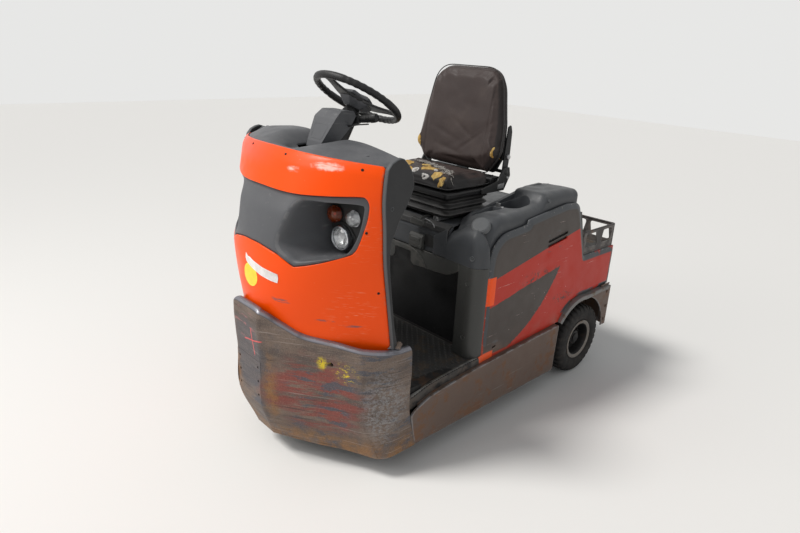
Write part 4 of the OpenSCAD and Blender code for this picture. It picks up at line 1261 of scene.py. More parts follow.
def make_lamps():
    floor = spline(POCKET_FLOOR, 60, True)
    if area(floor) < 0:
        floor.reverse()
    x, z, r = HEADLAMP
    plate = sheet(offset(floor, 3), [circle(x, z, 38, 32)], flat("y", LAMP_Y - 12, 1), 7.0, 20, 1.5)
    plate.join(tube([(218, LAMP_Y - 14, 1010), (250, LAMP_Y - 17, 1030), (300, LAMP_Y - 17, 1026),
                     (334, LAMP_Y - 14, 990)], 3.2, 8))
    dress("lamp_plates", plate.mirrored(), "socket", "tug", "lamp_housing", ["lamp_holders"])
    bezel, dish, lens, bulbs, amber, amber_base = (Shell() for k in range(6))
    head = turned(x, LAMP_FRONT, z, toward=(0.10, -1, 0.0))
    bezel.join(lathe([(r + out, h) for out, h in BEZEL_LIP], head, 56))
    bezel.join(lathe([(r + out, h) for out, h in BEZEL_SEAT], head, 48))
    flutes = [(a, 1 + 0.02 * math.cos(FLUTES * a)) for a in (math.tau * k / 72 for k in range(72))]
    rings = [[head @ Vector((rr * w * math.cos(a), rr * w * math.sin(a), h)) for a, w in flutes]
             for rr, h in DISH]
    rings += [[p - Vector((0, -2.0, 0)) for p in ring] for ring in rings[::-1]]
    dish.join(loft(rings + rings[:1], caps=False))
    lens.join(lathe(HEAD_LENS, head, 48))
    bulbs.join(lathe(HEAD_BULB, head, 24))
    for (x, z, r), shell, base in ((INDICATOR, amber, amber_base), (POSITION, lens, bezel)):
        m = turned(x, LAMP_FRONT, z, toward=(0.06, -1, 0.0))
        shell.join(lathe([(0, 33), (r * 0.35, 32), (r * 0.65, 28), (r * 0.86, 21), (r * 0.95, 12), (r, 4),
                          (r, 1), (r - 2, 1), (r - 3, 11), (r * 0.78, 20), (r * 0.58, 26), (r * 0.3, 29.5),
                          (0, 30)], m, 40))
        base.join(lathe([(0, -1), (r + 3, -1), (r + 3.5, 1.5), (r + 3, 4), (r + 0.5, 4), (r + 0.5, 1),
                         (0, 0.5)], m, 40))
        bulbs.join(lathe(SMALL_BULB, m, 20))
        for h in range(4, 24, 4):
            shell.join(lathe([(r * 0.97, h), (r * 1.0, h + 1), (r * 0.96, h + 2.5)], m, 40))
    for name, shell, look, slot, replaced in (
            ("headlamp_bezels", bezel, "chrome", "lamp_housing", ["headlamps"]),
            ("headlamp_dishes", dish, "mirror", "lamp_housing", ()),
            ("clear_lenses", lens, "clear", "lamp_lens", ["position_lamps"]),
            ("lamp_bulbs", bulbs, "mirror", "lamp_lens", ()),
            ("amber_lenses", amber, "amber", "amber_lens", ["indicator_lamps"]),
            ("amber_bases", amber_base, "socket", "lamp_housing", ())):
        dress(name, shell.mirrored(), look, "tug", slot, replaced)


def bumper_plan(top):
    if top:
        points = [(0, BUMPER_Y), (90, BUMPER_Y), (175, BUMPER_Y + 63), (260, BUMPER_Y + 127),
                  (330, BUMPER_Y + 179)]
        points += arc(BODY_HW - 251, -600, 251, -50, -10, 5) + [(BODY_HW - 1, -600), (BODY_HW, -588)]
    else:
        points = [(0, -945), (60, -945), (160, -895), (270, -832), (370, -773)]
        points += arc(BODY_HW - 80, -663, 80, -56, 0, 5) + [(BODY_HW, -600), (BODY_HW, SILL_Y0)]
    points = [Vector(p) for p in points]
    return [points[0].lerp(points[1], i / 7) for i in range(7)] + spline(points[1:], 66)


DENT_Z = 300
FLAP_Z = 566


def bumper_grid():
    """Outer and inner face of the bumper, column by column, with a lip rolled inward."""
    low, high = bumper_plan(False), bumper_plan(True)
    last = len(low) - 1
    rows = [i / 24 for i in range(25)]
    angles = [15 * i for i in range(1, 8)]
    outer, inner, edge = [], [], []
    for k in range(-last, last + 1):
        j = abs(k)
        side = -1 if k < 0 else 1
        top = curve(high[j].x, LIP_LINE)

        def plan(i, s):
            return low[i] + (high[i] - low[i]) * s
        col_o, col_i, col_e = [], [], []
        for t, a in [(r, 0) for r in rows] + [(1.0, a) for a in angles]:
            z = mixed(BUMPER_Z0, top - LIP_R, t) + LIP_R * math.sin(math.radians(a))
            s = curve(min(z, top), LEAN_LINE)
            p = plan(j, s)
            before = plan(j - 1, s) if j else Vector((-100, p.y))
            after = plan(j + 1, s) if j < last else p + Vector((0, 40))
            tangent = (after - before).normalized()
            inward = Vector((-tangent.y, tangent.x))
            c = math.cos(math.radians(a))
            under = LIP_R - BUMPER_T
            o = p + inward * (LIP_R * (1 - c))
            n = p + inward * (LIP_R - under * c)
            dent = wobble((o.x, o.y, z), 0.011, 1.6, 3.0) + wobble((o.x, o.y, z * 3), 0.03, 0.5, 9.0)
            knock = 3.0 * math.exp(-((o.x * side - 300) / 60) ** 2 - ((z - DENT_Z) / 38) ** 2)
            dent = max(0.0, dent + knock * (1 if side > 0 else 0.3) + 0.8)
            o = o + inward * dent * c
            col_o.append(Vector((side * o.x, o.y, z - dent * (1 - c))))
            drop = BUMPER_T * math.sin(math.radians(a))
            col_i.append(Vector((side * n.x, n.y, z - drop)))
            lip = ease((a - 5) / 30) if a else 0.0
            low_edge = max(0.0, 1 - (z - BUMPER_Z0) / 14) * 0.3
            col_e.append(max(lip, low_edge))
        outer.append(col_o)
        inner.append(col_i)
        edge.append(col_e)
    return outer, inner, edge


def grid_shell(outer, inner, edge=None):
    """Closed wall between two grids of points."""
    n, m = len(outer), len(outer[0])

    def o(i, j):
        return i * m + j

    def q(i, j):
        return n * m + i * m + j
    faces = []
    for i in range(n - 1):
        for j in range(m - 1):
            faces.append((o(i, j), o(i, j + 1), o(i + 1, j + 1), o(i + 1, j)))
            faces.append((q(i, j), q(i + 1, j), q(i + 1, j + 1), q(i, j + 1)))
    for j in range(m - 1):
        faces.append((o(0, j + 1), o(0, j), q(0, j), q(0, j + 1)))
        faces.append((o(n - 1, j), o(n - 1, j + 1), q(n - 1, j + 1), q(n - 1, j)))
    for i in range(n - 1):
        faces.append((o(i, 0), o(i + 1, 0), q(i + 1, 0), q(i, 0)))
        faces.append((o(i + 1, m - 1), o(i, m - 1), q(i, m - 1), q(i + 1, m - 1)))
    flat_edge = [e for row in edge for e in row] if edge else [0.0] * (n * m)
    return Shell().add([p for row in outer for p in row] + [p for row in inner for p in row],
                       faces, flat_edge + flat_edge)


def cut(obj, shells):
    """Takes closed shells out of an object."""
    for shell in shells:
        cutter = bpy.data.objects.new("cutter", bpy.data.meshes.new("cutter"))
        bm = bmesh.new()
        verts = [bm.verts.new(v * MM) for v in shell.verts]
        for f in shell.faces:
            bm.faces.new([verts[i] for i in f])
        bmesh.ops.remove_doubles(bm, verts=bm.verts, dist=0.00001)
        bmesh.ops.recalc_face_normals(bm, faces=bm.faces)
        bm.to_mesh(cutter.data)
        bm.free()
        scene.collection.objects.link(cutter)
        apply_modifier(obj, "BOOLEAN", operation="DIFFERENCE", solver="EXACT", object=cutter)
        bpy.data.objects.remove(cutter, do_unlink=True)


def make_bumper():
    outer, inner, edge = bumper_grid()
    obj = dress("front_bumper_skin", grid_shell(outer, inner, edge), "bumper", "tug", "bumper_steel",
                ["front_bumper"], soft=True)
    window = block((-PLATE_HW - 0.8, BUMPER_Y - 30, 279), (PLATE_HW + 0.8, -900, 461), 0)
    cut(obj, [window, tube([(285, -1000, 497), (335, -760, 497)], 9.5, 24)])
    obj.data.set_sharp_from_angle(angle=math.radians(50))
    holes = [circle(x, z, 5.5, 20) for x in (-BOLT_X, BOLT_X) for z in BOLT_ROWS]
    plate = sheet([(-PLATE_HW, 280), (PLATE_HW, 280), (PLATE_HW, 460), (-PLATE_HW, 460)], holes,
                  flat("y", BUMPER_Y + 7.5, 1), BUMPER_T, step=16, r=0.8, worn=6)
    plate.edge = [0.0] * len(plate.edge)
    dress("coupling_plate_face", plate, "bumper", "tug", "bumper_steel", ["coupling_plate"])
    flap = []
    for i in range(9):
        t = i / 8
        x = mixed(452, 486, t)
        y = mixed(-678, -640, t)
        tall = (16 * math.sin(math.pi * t) ** 0.7 + 10 * t) * (1.0 + 0.25 * math.sin(9 * t))
        lean = 10 * math.sin(2.4 * t)
        flap.append([Vector((x, y, FLAP_Z)), Vector((x - lean * 0.4, y + 3, FLAP_Z + tall * 0.45)),
                     Vector((x - lean, y + 9 + 4 * t, FLAP_Z + tall * 0.8)),
                     Vector((x - lean - 3, y + 14 + 6 * t, FLAP_Z + tall))])
    back = [[p + Vector((-1.6, 1.6, -0.6)) for p in row] for row in flap]
    dress("torn_lip", grid_shell(flap, back), "bumper", "tug", "bumper_steel")


# Battery hood, side panels and the posts in front of the battery

HOOD_Z0 = 776.5
ARCH = (685.0, 200.0)
POST = (408.0, -124.0, 64.0)
LANE_TOP = [(-186, 866), (-66, 974), (40, 980), (140, 984), (232, 992), (256, 1004), (275, 1030), (290, 1039),
            (440, 1040), (500, 1039), (530, 1034)]
LANE_X = 272.0
LANE_DROP = [(-186, 30), (-90, 24), (20, 8), (110, 4), (250, 3), (300, 4), (566, 4)]


def walled(obj, mm, toward, sharp=45):
    """Gives an open skin its wall, on the side away from the given direction."""
    bm = bmesh.new()
    bm.from_mesh(obj.data)
    bmesh.ops.recalc_face_normals(bm, faces=bm.faces)
    bm.normal_update()
    if sum(f.normal.dot(Vector(toward)) * f.calc_area() for f in bm.faces) < 0:
        bmesh.ops.reverse_faces(bm, faces=bm.faces)
    bm.to_mesh(obj.data)
    bm.free()
    apply_modifier(obj, "SOLIDIFY", thickness=mm * MM, offset=-1.0, use_even_offset=False)
    obj.data.set_sharp_from_angle(angle=math.radians(sharp))
    apply_modifier(obj, "WEIGHTED_NORMAL", keep_sharp=True, weight=40)


def lane_top(x, y):
    """Height of the raised strip on each side of the hood."""
    top = curve(y, LANE_TOP)
    inner = top - curve(y, LANE_DROP)
    crown = mixed(inner, top, ease((x - 272) / 105))
    return crown - 3 * ease((x - 400) / 60)


def lane_plan():
    """Foot line of a lane from its inner front corner round to its inner rear corner."""
    cx, cy, r = POST
    pts = [(272, -186), (300, -186), (330, -186), (360, -186), (385, -186)]
    r += 1.5
    for a in (math.radians(v) for v in range(6, 91, 9)):
        pts.append((cx - 4 + r * math.sin(a), cy + 1 - r * math.cos(a)))
    pts += [(467, -119), (458, -113), (450, -108), (449, -98)]
    pts += [(449, y) for y in range(-84, 520, 12)]
    pts += arc(449 - 34, 532, 34, 0, 90, 6)
    pts += [(x, 566) for x in range(400, 271, -16)]
    return [Vector(p) for p in pts]


def lane_shell():
    """Side strip of the hood: a rounded wall that runs round it, and its top with two openings."""
    plan = lane_plan()
    n = len(plan)
    normals = []
    for i in range(n):
        a, b = plan[max(i - 1, 0)], plan[min(i + 1, n - 1)]
        t = (b - a).normalized()
        normals.append(Vector((-t.y, t.x)))
    radii = []
    for p in plan:
        if p.y > 520:
            radii.append(34)
        elif p.y < -150:
            radii.append(mixed(60, 92, ease((p.x - LANE_X) / 90)))
        else:
            radii.append(mixed(92, 42, ease((p.y + 150) / 90)))
    rows, edges = [], []
    finals = [p + nrm * r for p, nrm, r in zip(plan, normals, radii)]
    for i, q in enumerate(finals):
        q.x = max(q.x, LANE_X)
        q.y = min(q.y, 566 - radii[i] * 0.999) if plan[i].y > 560 else q.y
    tops = [lane_top(q.x, q.y) for q in finals]
    for share in (0.0, 0.12, 0.5):
        row = []
        for p, r, top in zip(plan, radii, tops):
            low = HOOD_Z0 if p.y < -105 else 800.0
            low = 905.0 if p.y > 520 else low
            row.append(Vector((p.x, p.y, mixed(low, top - r, share))))
        rows.append(row)
        edges += [1.0 if share == 0 else 0.25] * n
    for a in range(90, -1, -10):
        s, c = math.sin(math.radians(a)), math.cos(math.radians(a))
        row = []
        for p, q, r, top in zip(plan, finals, radii, tops):
            foot = p.lerp(q, 1 - s)
            row.append(Vector((foot.x, foot.y, top - r * (1 - c) if a else top)))
        rows.append(row)
        edges += [0.45 if 25 < a < 75 else 0.1] * n
    shell = Shell()
    faces = [(i * n + j, i * n + j + 1, (i + 1) * n + j + 1, (i + 1) * n + j)
             for i in range(len(rows) - 1) for j in range(n - 1)]
    shell.add([p for row in rows for p in row], faces, edges)
    rim = [Vector((p.x, p.y)) for p in rows[-1]]
    clean = [rim[0]]
    for p in rim[1:]:
        if (p - clean[-1]).length > 1.0:
            clean.append(p)
    front, rear = clean[0], clean[-1]
    inner = [Vector((LANE_X, y)) for y in np.arange(rear.y - 12, front.y + 6, -12.0)]
    loops = [clean + inner]
    for hole in (tray_loop(), bowl_loop()):
        hole = [Vector(p) for p in hole]
        loops.append(hole[::-1] if area(hole) > 0 else hole)
    verts, tris, _ = fill(loops, 11)
    gap = border_distance(np.array([tuple(v) for v in verts]), loops[1:])
    shell.add([(v.x, v.y, lane_top(v.x, v.y)) for v in verts], tris,
              [float(max(0.08, 1 - d / 10)) for d in gap])
    return shell


def tray_loop():
    return rounded([(286, -62, 10), (306, -60, 14), (338, 20, 20), (350, 92, 12), (286, 96, 8)], 5)


def bowl_loop():
    return arc(340, 212, 55, 0, 180, 18) + arc(340, 164, 55, 180, 360, 18)


CUP_WALL = 3.0
CUP_SLOPE = 8.0
CUP_FILLET = 9.0


def cup(loop, floor):
    """Pocket hanging in an opening of the hood's top."""
    loop = [Vector(p) for p in loop]
    if area(loop) < 0:
        loop.reverse()
    n = len(loop)
    tops = [lane_top(p.x, p.y) for p in loop]
    inner = [[Vector((p.x, p.y, t - 0.2)) for p, t in zip(loop, tops)]]
    steps = [(2.0, lambda t: t - 3.0), (CUP_SLOPE * 0.5, lambda t: (t + floor) / 2),
             (CUP_SLOPE, lambda t: floor + CUP_FILLET)]
    for by, level in steps:
        inner.append([Vector((p.x, p.y, level(t))) for p, t in zip(offset(loop, by), tops)])
    for k in (1, 2, 3):
        a = math.radians(30 * k)
        ring = offset(loop, CUP_SLOPE + CUP_FILLET * (1 - math.cos(a)))
        inner.append([Vector((p.x, p.y, floor + CUP_FILLET * (1 - math.sin(a)))) for p in ring])
    outer = []
    for row in inner:
        centre = sum(row, Vector()) / n
        outer.append([p + (p - centre).normalized() * CUP_WALL * 0.8 - Vector((0, 0, CUP_WALL * 0.6))
                      for p in row])
    return loft(outer[::-1] + inner)


def screw_cup(at, toward, r=8.5, deep=5.0):
    """Sunken screw: a ring, a dished floor and a slotted head."""
    m = turned(*at, toward=toward)
    out = lathe([(r + 2.4, -deep), (r + 2.4, 0.2), (r + 1.2, 0.9), (r, 0.4), (r - 1.2, -1.6),
                 (r - 2, -deep + 1), (0, -deep + 1), (0, -deep)], m, 28)
    out.join(lathe([(0, -deep + 0.5), (5.2, -deep + 0.5), (5.2, -deep + 3), (4.2, -deep + 4),
                    (0, -deep + 4.2)], m, 20))
    out.join(block((-4, -0.6, -deep + 3.9), (4, 0.6, -deep + 4.5), 0.1), m)
    return out


def surface_of(obj):
    mesh = obj.data
    return BVHTree.FromPolygons([v.co for v in mesh.vertices], [tuple(f.vertices) for f in mesh.polygons])


MARK_PROFILE = [(0, 6.4), (0.5, 6.1), (0.85, 5.4), (0.93, 4.6), (0.96, 2.8), (0.98, 2.8), (1.0, 3.8),
                (1.05, 3.2), (1.08, 1.2), (1.08, -18), (0, -18)]


def hood_mark(tree, start, way, r):
    """Round cover that lies on the hood's corner, with a sunken ring at its rim."""
    way = way.normalized()
    start = start - way * 0.3
    side = way.cross(Vector((0, 0, 1))).normalized()
    up = side.cross(way).normalized()
    normals = []
    for x, y in circle(0, 0, 1, 12):
        normal = tree.ray_cast(start + (side * x + up * y) * 0.6 * r * MM, way)[1]
        if normal is not None:
            normals.append(-normal if normal.dot(way) > 0 else normal)
    middle = tree.ray_cast(start, way)[0] / MM
    out = sum(normals, Vector()).normalized()
    return lathe([(share * r, h) for share, h in MARK_PROFILE], turned(*middle, toward=out), 56)


def make_hood():
    lane = lane_shell()
    skin = dress("battery_hood_skin", lane.mirrored(), "hood", "hood", "hood_plastic", ["battery_hood"])
    walled(skin, 4.0, (0, 0, 1))
    parts = Shell()
    for loop, floor in ((tray_loop(), 944.0), (bowl_loop(), 928.0)):
        parts.join(cup(loop, floor).mirrored())
    wing = sheet([(193, 779), (193, 861), (207, 872), (272, 912), (273, 779)], [],
                 flat("y", -186, 1), 5, 12, 2)
    parts.join(wing.mirrored())
    parts.join(prism("x", rounded([(-174, 778, 1), (-176, 868, 8), (-166, 902, 22), (-140, 919, 10),
                                   (566, 919, 3), (566, 911, 3), (-136, 910, 8), (-158, 895, 16),
                                   (-168, 866, 8), (-168, 778, 1)], 5), -273, 273))
    for side in (-1, 1):
        tops = [(y, lane_top(LANE_X, y) - 1.0) for y in range(-126, 560, 14)]
        parts.join(prism("x", [(-150, 912)] + tops + [(562, 912)], side * LANE_X - 2, side * LANE_X + 2, 0.6))
        for x in (-200, 200):
            parts.join(prism("x", rounded([(562, 916, 2), (594, 916, 4), (596, 930, 8), (587, 941, 8),
                                           (574, 934, 4), (562, 928, 2)], 4), x - 29, x + 29, 1.0))
    dress("battery_hood_inner", parts, "hood", "hood", "hood_plastic")
    small = Shell()
    small.join(screw_cup((424, -187.5, 819), (0.3, -1, 0)).mirrored())
    small.join(screw_cup((452, 300, lane_top(430, 300) - 30), (1, 0, 0.35), 6, 3).mirrored())
    disc = hood_mark(surface_of(skin), Vector((0.470, -0.186, 0.975)), Vector((-0.66, 0.62, -0.22)), 38.0)
    small.join(disc.mirrored())
    dress("battery_hood_caps", small, "cap", "hood")
    bright = Shell()
    bright.join(block((300, 99, 979), (322, 106, 997), 1.4))
    bright.join(lathe([(0, 0), (6, 0), (6, 5), (4.5, 7), (0, 7.4)], turned(336, 102, 978), 20))
    dress("hood_clips", bright, "zinc", "hood")
    dark = Shell()
    dark.join(prism("y", rounded([(132, 800, 4), (188, 800, 4), (188, 852, 4), (140, 858, 4),
                                  (132, 846, 4)], 4), -177.5, -174, 0.5))
    dark.join(prism("x", rounded([(-180, 884, 3), (-172, 906, 10), (-150, 921, 8), (-146, 915, 3),
                                  (-166, 900, 10), (-172, 882, 3)], 4), -268, 268, 0.6))
    dress("hood_front_seal", dark, "rubber", "hood")
    ridge = prism("x", rounded([(-92, 925, 2), (-74, 946, 14), (360, 1036, 20), (480, 1039.4, 6),
                                (480, 925, 2)], 5), 262, 279, 5.0, 3)
    dress("battery_hood_ridges", ridge.mirrored(), "hood", "hood", "hood_plastic")
    box = prism("x", rounded([(-150, 779, 2), (-190, 779, 5), (-193, 800, 4), (-192, 834, 6), (-184, 846, 6),
                              (-150, 852, 3)], 5), 44, 128, 2.2, 3)
    box.join(prism("x", rounded([(-188, 806, 3), (-194.5, 812, 3), (-194.5, 828, 3), (-188, 836, 3)], 4),
                   58, 112, 1.2))
    box.join(lathe([(0, 0), (9, 0), (9, 7), (7.5, 9), (0, 9.4)], turned(120, -189, 790,
                                                                        toward=(0, -1, 0)), 24))
    dress("battery_console", box, "post", "hood")


def make_portal():
    cx, cy, r = POST
    x0 = cx - 56

    def wall(radius, angles):
        return [(cx + radius * math.cos(a), cy + radius * math.sin(a)) for a in map(math.radians, angles)]
    outer = wall(r, range(-104, 1, 8))
    inner = wall(r - 5, range(0, -105, -8))
    plan = [(x0, -100), (x0, -184)] + outer + inner + [(x0 + 5, -179), (x0 + 5, -100)]
    posts = prism("z", plan, 350.3, 775.6, 1.6, 2)
    foot = prism("z", wall(r + 0.2, range(-100, 1, 8)) + wall(r - 3, range(0, -101, -8)), 350.4, 362, 1.2)
    posts.join(foot)
    posts.join(screw_cup((411, -189, 448), (0.05, -1, 0), 9, 6))
    posts.join(screw_cup((411, -189, 700), (0.05, -1, 0), 7, 4))
    shell = posts.mirrored()
    lower = [(352, 742), (330, 726), (306, 712), (280, 703), (240, 699), (190, 696), (120, 694), (75, 690),
             (56, 704), (52, 752), (-52, 752), (-56, 704), (-75, 690), (-190, 696), (-280, 703), (-306, 712),
             (-330, 726), (-352, 742)]
    apron = rounded([(x, z, 9) for x, z in lower] + [(-352, 775.6, 2), (352, 775.6, 2)], 3)
    shell.join(sheet(apron, [], flat("y", -184, 1), 5, 16, 2.2))
    bulge = [(-60, 775)] + [p for p in arc(44, 652, 121, 100, 20, 14) if p[1] > 694]
    bulge += [(157, 697), (120, 695), (76, 692), (58, 704), (54, 753), (-54, 753), (-60, 760)]
    shell.join(sheet(bulge, [], flat("y", -187.5, 1), 4, 0, 1.8))
    dress("portal_posts", shell, "post", "tug", "grey_paint", ["portal"])


VENT_Y = 382
VENT_ROWS = (828, 804)
# Knocks in a panel: place along Y and up Z, half widths and depth
DENTS = [(173, 637, 34, 24, 5), (115, 621, 26, 15, 4), (301, 673, 40, 22, 5), (307, 757, 30, 18, 4),
         (437, 560, 34, 30, 3), (60, 470, 60, 26, 2.5), (520, 640, 46, 40, 3)]


def panel_line():
    pts = [(-122, 322.8), (-118, 765)] + arc(12, 790, 125, 172, 96, 18)
    pts += [(60, 919), (104, 923), (130, 926), (136, 930), (141, 942), (146, 947)]
    pts += [(240, 958), (340, 969), (440, 979)] + arc(505, 912, 62, 88, 15, 10)
    pts += [(661, 675), (REAR_Y, 675), (REAR_Y, 452), (858, 452)] + arc(*ARCH, 250, 80, 143, 30)
    pts += [(472, 353), (462, 350)]
    return [Vector(p) for p in pts]


def slot_loop(cy, cz, half_l, half_h, turn):
    a = math.radians(turn)
    pts = arc(half_l - half_h, 0, half_h, -90, 90, 6) + arc(-half_l + half_h, 0, half_h, 90, 270, 6)
    return [Vector((cy + p[0] * math.cos(a) - p[1] * math.sin(a),
                    cz + p[0] * math.sin(a) + p[1] * math.cos(a))) for p in pts]


PANEL_FACE = 473.5
PANEL_LOW = 372
ROLL_WIDE = 30.0
ROLL_DEEP = 12.0
BORDER = resample(panel_line(), 60)
PANEL_EDGE = list(zip(BORDER, BORDER[1:] + BORDER[:1]))


def far_inside(y, z):
    """True in the middle of the panel, where its border is certainly far."""
    return 0 < y < 620 and z < 640 and math.hypot(y - ARCH[0], z - ARCH[1]) > 300


def panel_roll(u, v):
    """How far the panel's border rolls inward."""
    if v < PANEL_LOW or far_inside(u, v):
        return 0.0
    p = Vector((u, v))
    far = 1e9
    for a, b in PANEL_EDGE:
        e = b - a
        t = min(1.0, max(0.0, (p - a).dot(e) / e.length_squared))
        far = min(far, (p - a - e * t).length)
    if u < -118 or u > REAR_Y:
        far = 0.0
    return ROLL_DEEP * max(0.0, 1 - far / ROLL_WIDE) ** 2 * ease((v - PANEL_LOW) / 60)


def vent_near(v):
    return abs(v.z - 816 - (v.y - VENT_Y) * 0.14) < 42 and abs(v.y - VENT_Y) < 132


def panel_lift(u, v, d):
    dent = sum(depth * math.exp(-((u - y) / wy) ** 2 - ((v - z) / wz) ** 2) for y, z, wy, wz, depth in DENTS)
    dent += max(0.0, wobble((u, v, 0), 0.012, 1.6, 4.0)) + max(0.0, wobble((u, v, 0), 0.05, 0.7, 9.0))
    return (PANEL_FACE - dent - panel_roll(u, v) - d, u, v)


def make_panels():
    holes = [slot_loop(VENT_Y, z, 78, 6, 8) for z in VENT_ROWS] + [slot_loop(-35, 377, 13, 4, 12)]
    shell = sheet(panel_line(), holes, panel_lift, 9, 12, 2.6, 3, 44)
    backs = Shell()
    for z in VENT_ROWS:
        fin = offset(slot_loop(VENT_Y, z, 78, 4.5, 8), -4.0)
        backs.join(sheet(fin, [], flat("x", 463.4), 3, 0, 0.8))
        rim = [(473.6, p.x, p.y) for p in slot_loop(VENT_Y, z, 79.5, 7.4, 8)]
        shell.join(tube(rim, 1.2, 8, True))
    dress("vent_backs", backs.mirrored(), "rubber", "tug")
    inner = panel_line()[::-1]
    shell.join(sheet(offset(inner, 12), [offset(inner, 44)],
                     lambda u, v, d: (462.5 - panel_roll(u, v) * 0.5 - d, u, v), 6, 0, 1.0))
    shell.edge = [e if v.z > 400 and not far_inside(v.y, v.z) and not vent_near(v) else min(e, 0.2)
                  for v, e in zip(shell.verts, shell.edge)]
    for z0, z1 in ((590, 724), (312, 360)):
        tab = rounded([(-143, z0, 7), (-112, z0 - 2, 2), (-112, z1 + 2, 2), (-143, z1, 7)], 4)
        shell.join(sheet(tab, [], lambda u, v, d: (474.4 - panel_roll(u, v) * 0.9 - d, u, v), 2.6, 6, 1.0))
    dress("side_panel_skin_left", shell, "panel", "tug", "panel_paint", ["side_panel_left"])
    dress("side_panel_skin_right", Shell().join(shell, mirror=True), "panel", "tug", "panel_paint",
          ["side_panel_right"])


# Seat

SEAT_HW = 245.0
BELLOWS_Z = (938.4, 1033.6)
FOLDS = 3
FOLD_STEPS = 12
VOXEL = 6.0
PRESSURE = 4.0
SWELL = 12
CLOTH_FRAMES = 20
CLOTH = {"quality": 6, "mass": 0.3, "tension_stiffness": 16, "compression_stiffness": 16,
         "shear_stiffness": 6, "bending_stiffness": 0.6, "use_pressure": True,
         "uniform_pressure_force": PRESSURE, "vertex_group_mass": "held"}


def puffed(obj, held):
    """Swells a pad by a cloth run; held(point) says what is sewn down or rests on its base."""
    apply_modifier(obj, "REMESH", mode="VOXEL", voxel_size=VOXEL * MM)
    start = [v.co.copy() for v in obj.data.vertices]
    group = obj.vertex_groups.new(name="held")
    for v in obj.data.vertices:
        if held(v.co / MM):
            group.add([v.index], 1.0, "REPLACE")
    modifier = obj.modifiers.new("cloth", "CLOTH")
    for key, value in CLOTH.items():
        setattr(modifier.settings, key, value)
    modifier.settings.effector_weights.gravity = 0
    modifier.point_cache.frame_start = 1
    modifier.point_cache.frame_end = CLOTH_FRAMES
    for frame_number in range(1, CLOTH_FRAMES + 1):
        scene.frame_set(frame_number)
    view = bpy.context.view_layer
    view.update()
    solved = obj.evaluated_get(view.depsgraph)
    moved = [v.co.copy() for v in solved.data.vertices]
    obj.modifiers.remove(modifier)
    for v, a, b in zip(obj.data.vertices, start, moved):
        step = b - a
        if step.length > SWELL * MM:
            step *= SWELL * MM / step.length
        v.co = a + step
    obj.data.update()
    scene.frame_set(1)
    apply_modifier(obj, "SMOOTH", factor=0.5, iterations=4)


def crease(p, lines):
    """Depth of the sewn lines and soft folds at a point of a pad's face."""
    depth = 0.0
    for (x0, y0), (x1, y1), width, deep in lines:
        d = Vector((x1 - x0, y1 - y0))
        t = min(1.0, max(0.0, ((p[0] - x0) * d.x + (p[1] - y0) * d.y) / d.length_squared))
        away = math.hypot(p[0] - x0 - d.x * t, p[1] - y0 - d.y * t)
        depth += deep * math.exp(-(away / width) ** 2) * (1 - 0.5 * abs(2 * t - 1) ** 2)
    return depth


CUSHION_LINES = [((-176, -160), (-176, 120), 5, 4.0), ((176, -160), (176, 120), 5, 4.0),
                 ((-176, -96), (176, -96), 5, 3.4), ((90, -150), (150, -60), 7, 2.6),
                 ((-40, -140), (30, -70), 9, 1.8), ((20, 10), (120, 40), 10, 1.8),
                 ((-110, 20), (-30, 60), 10, 1.6)]
BACK_LINES = [((-188, 1130), (-188, 1500), 5, 4.0), ((188, 1130), (188, 1500), 5, 4.0),
              ((-120, 1210), (60, 1180), 12, 3.0), ((-150, 1290), (20, 1240), 14, 2.6),
              ((-30, 1340), (110, 1260), 12, 2.4), ((40, 1200), (160, 1290), 10, 2.2),
              ((-90, 1160), (130, 1146), 9, 2.6), ((-60, 1440), (90, 1400), 20, 1.5)]


FLUFF_COUNT = 200
FLUFF_RADII = [1.0, 1.4, 1.3, 1.0, 0.4]


def back_plane(z):
    """Front face of the backrest over its height: a low bolster, a hollow and a lean."""
    return mixed(128, 176, (z - 1104) / 474) - 9 * math.exp(-((z - 1190) / 70) ** 2)


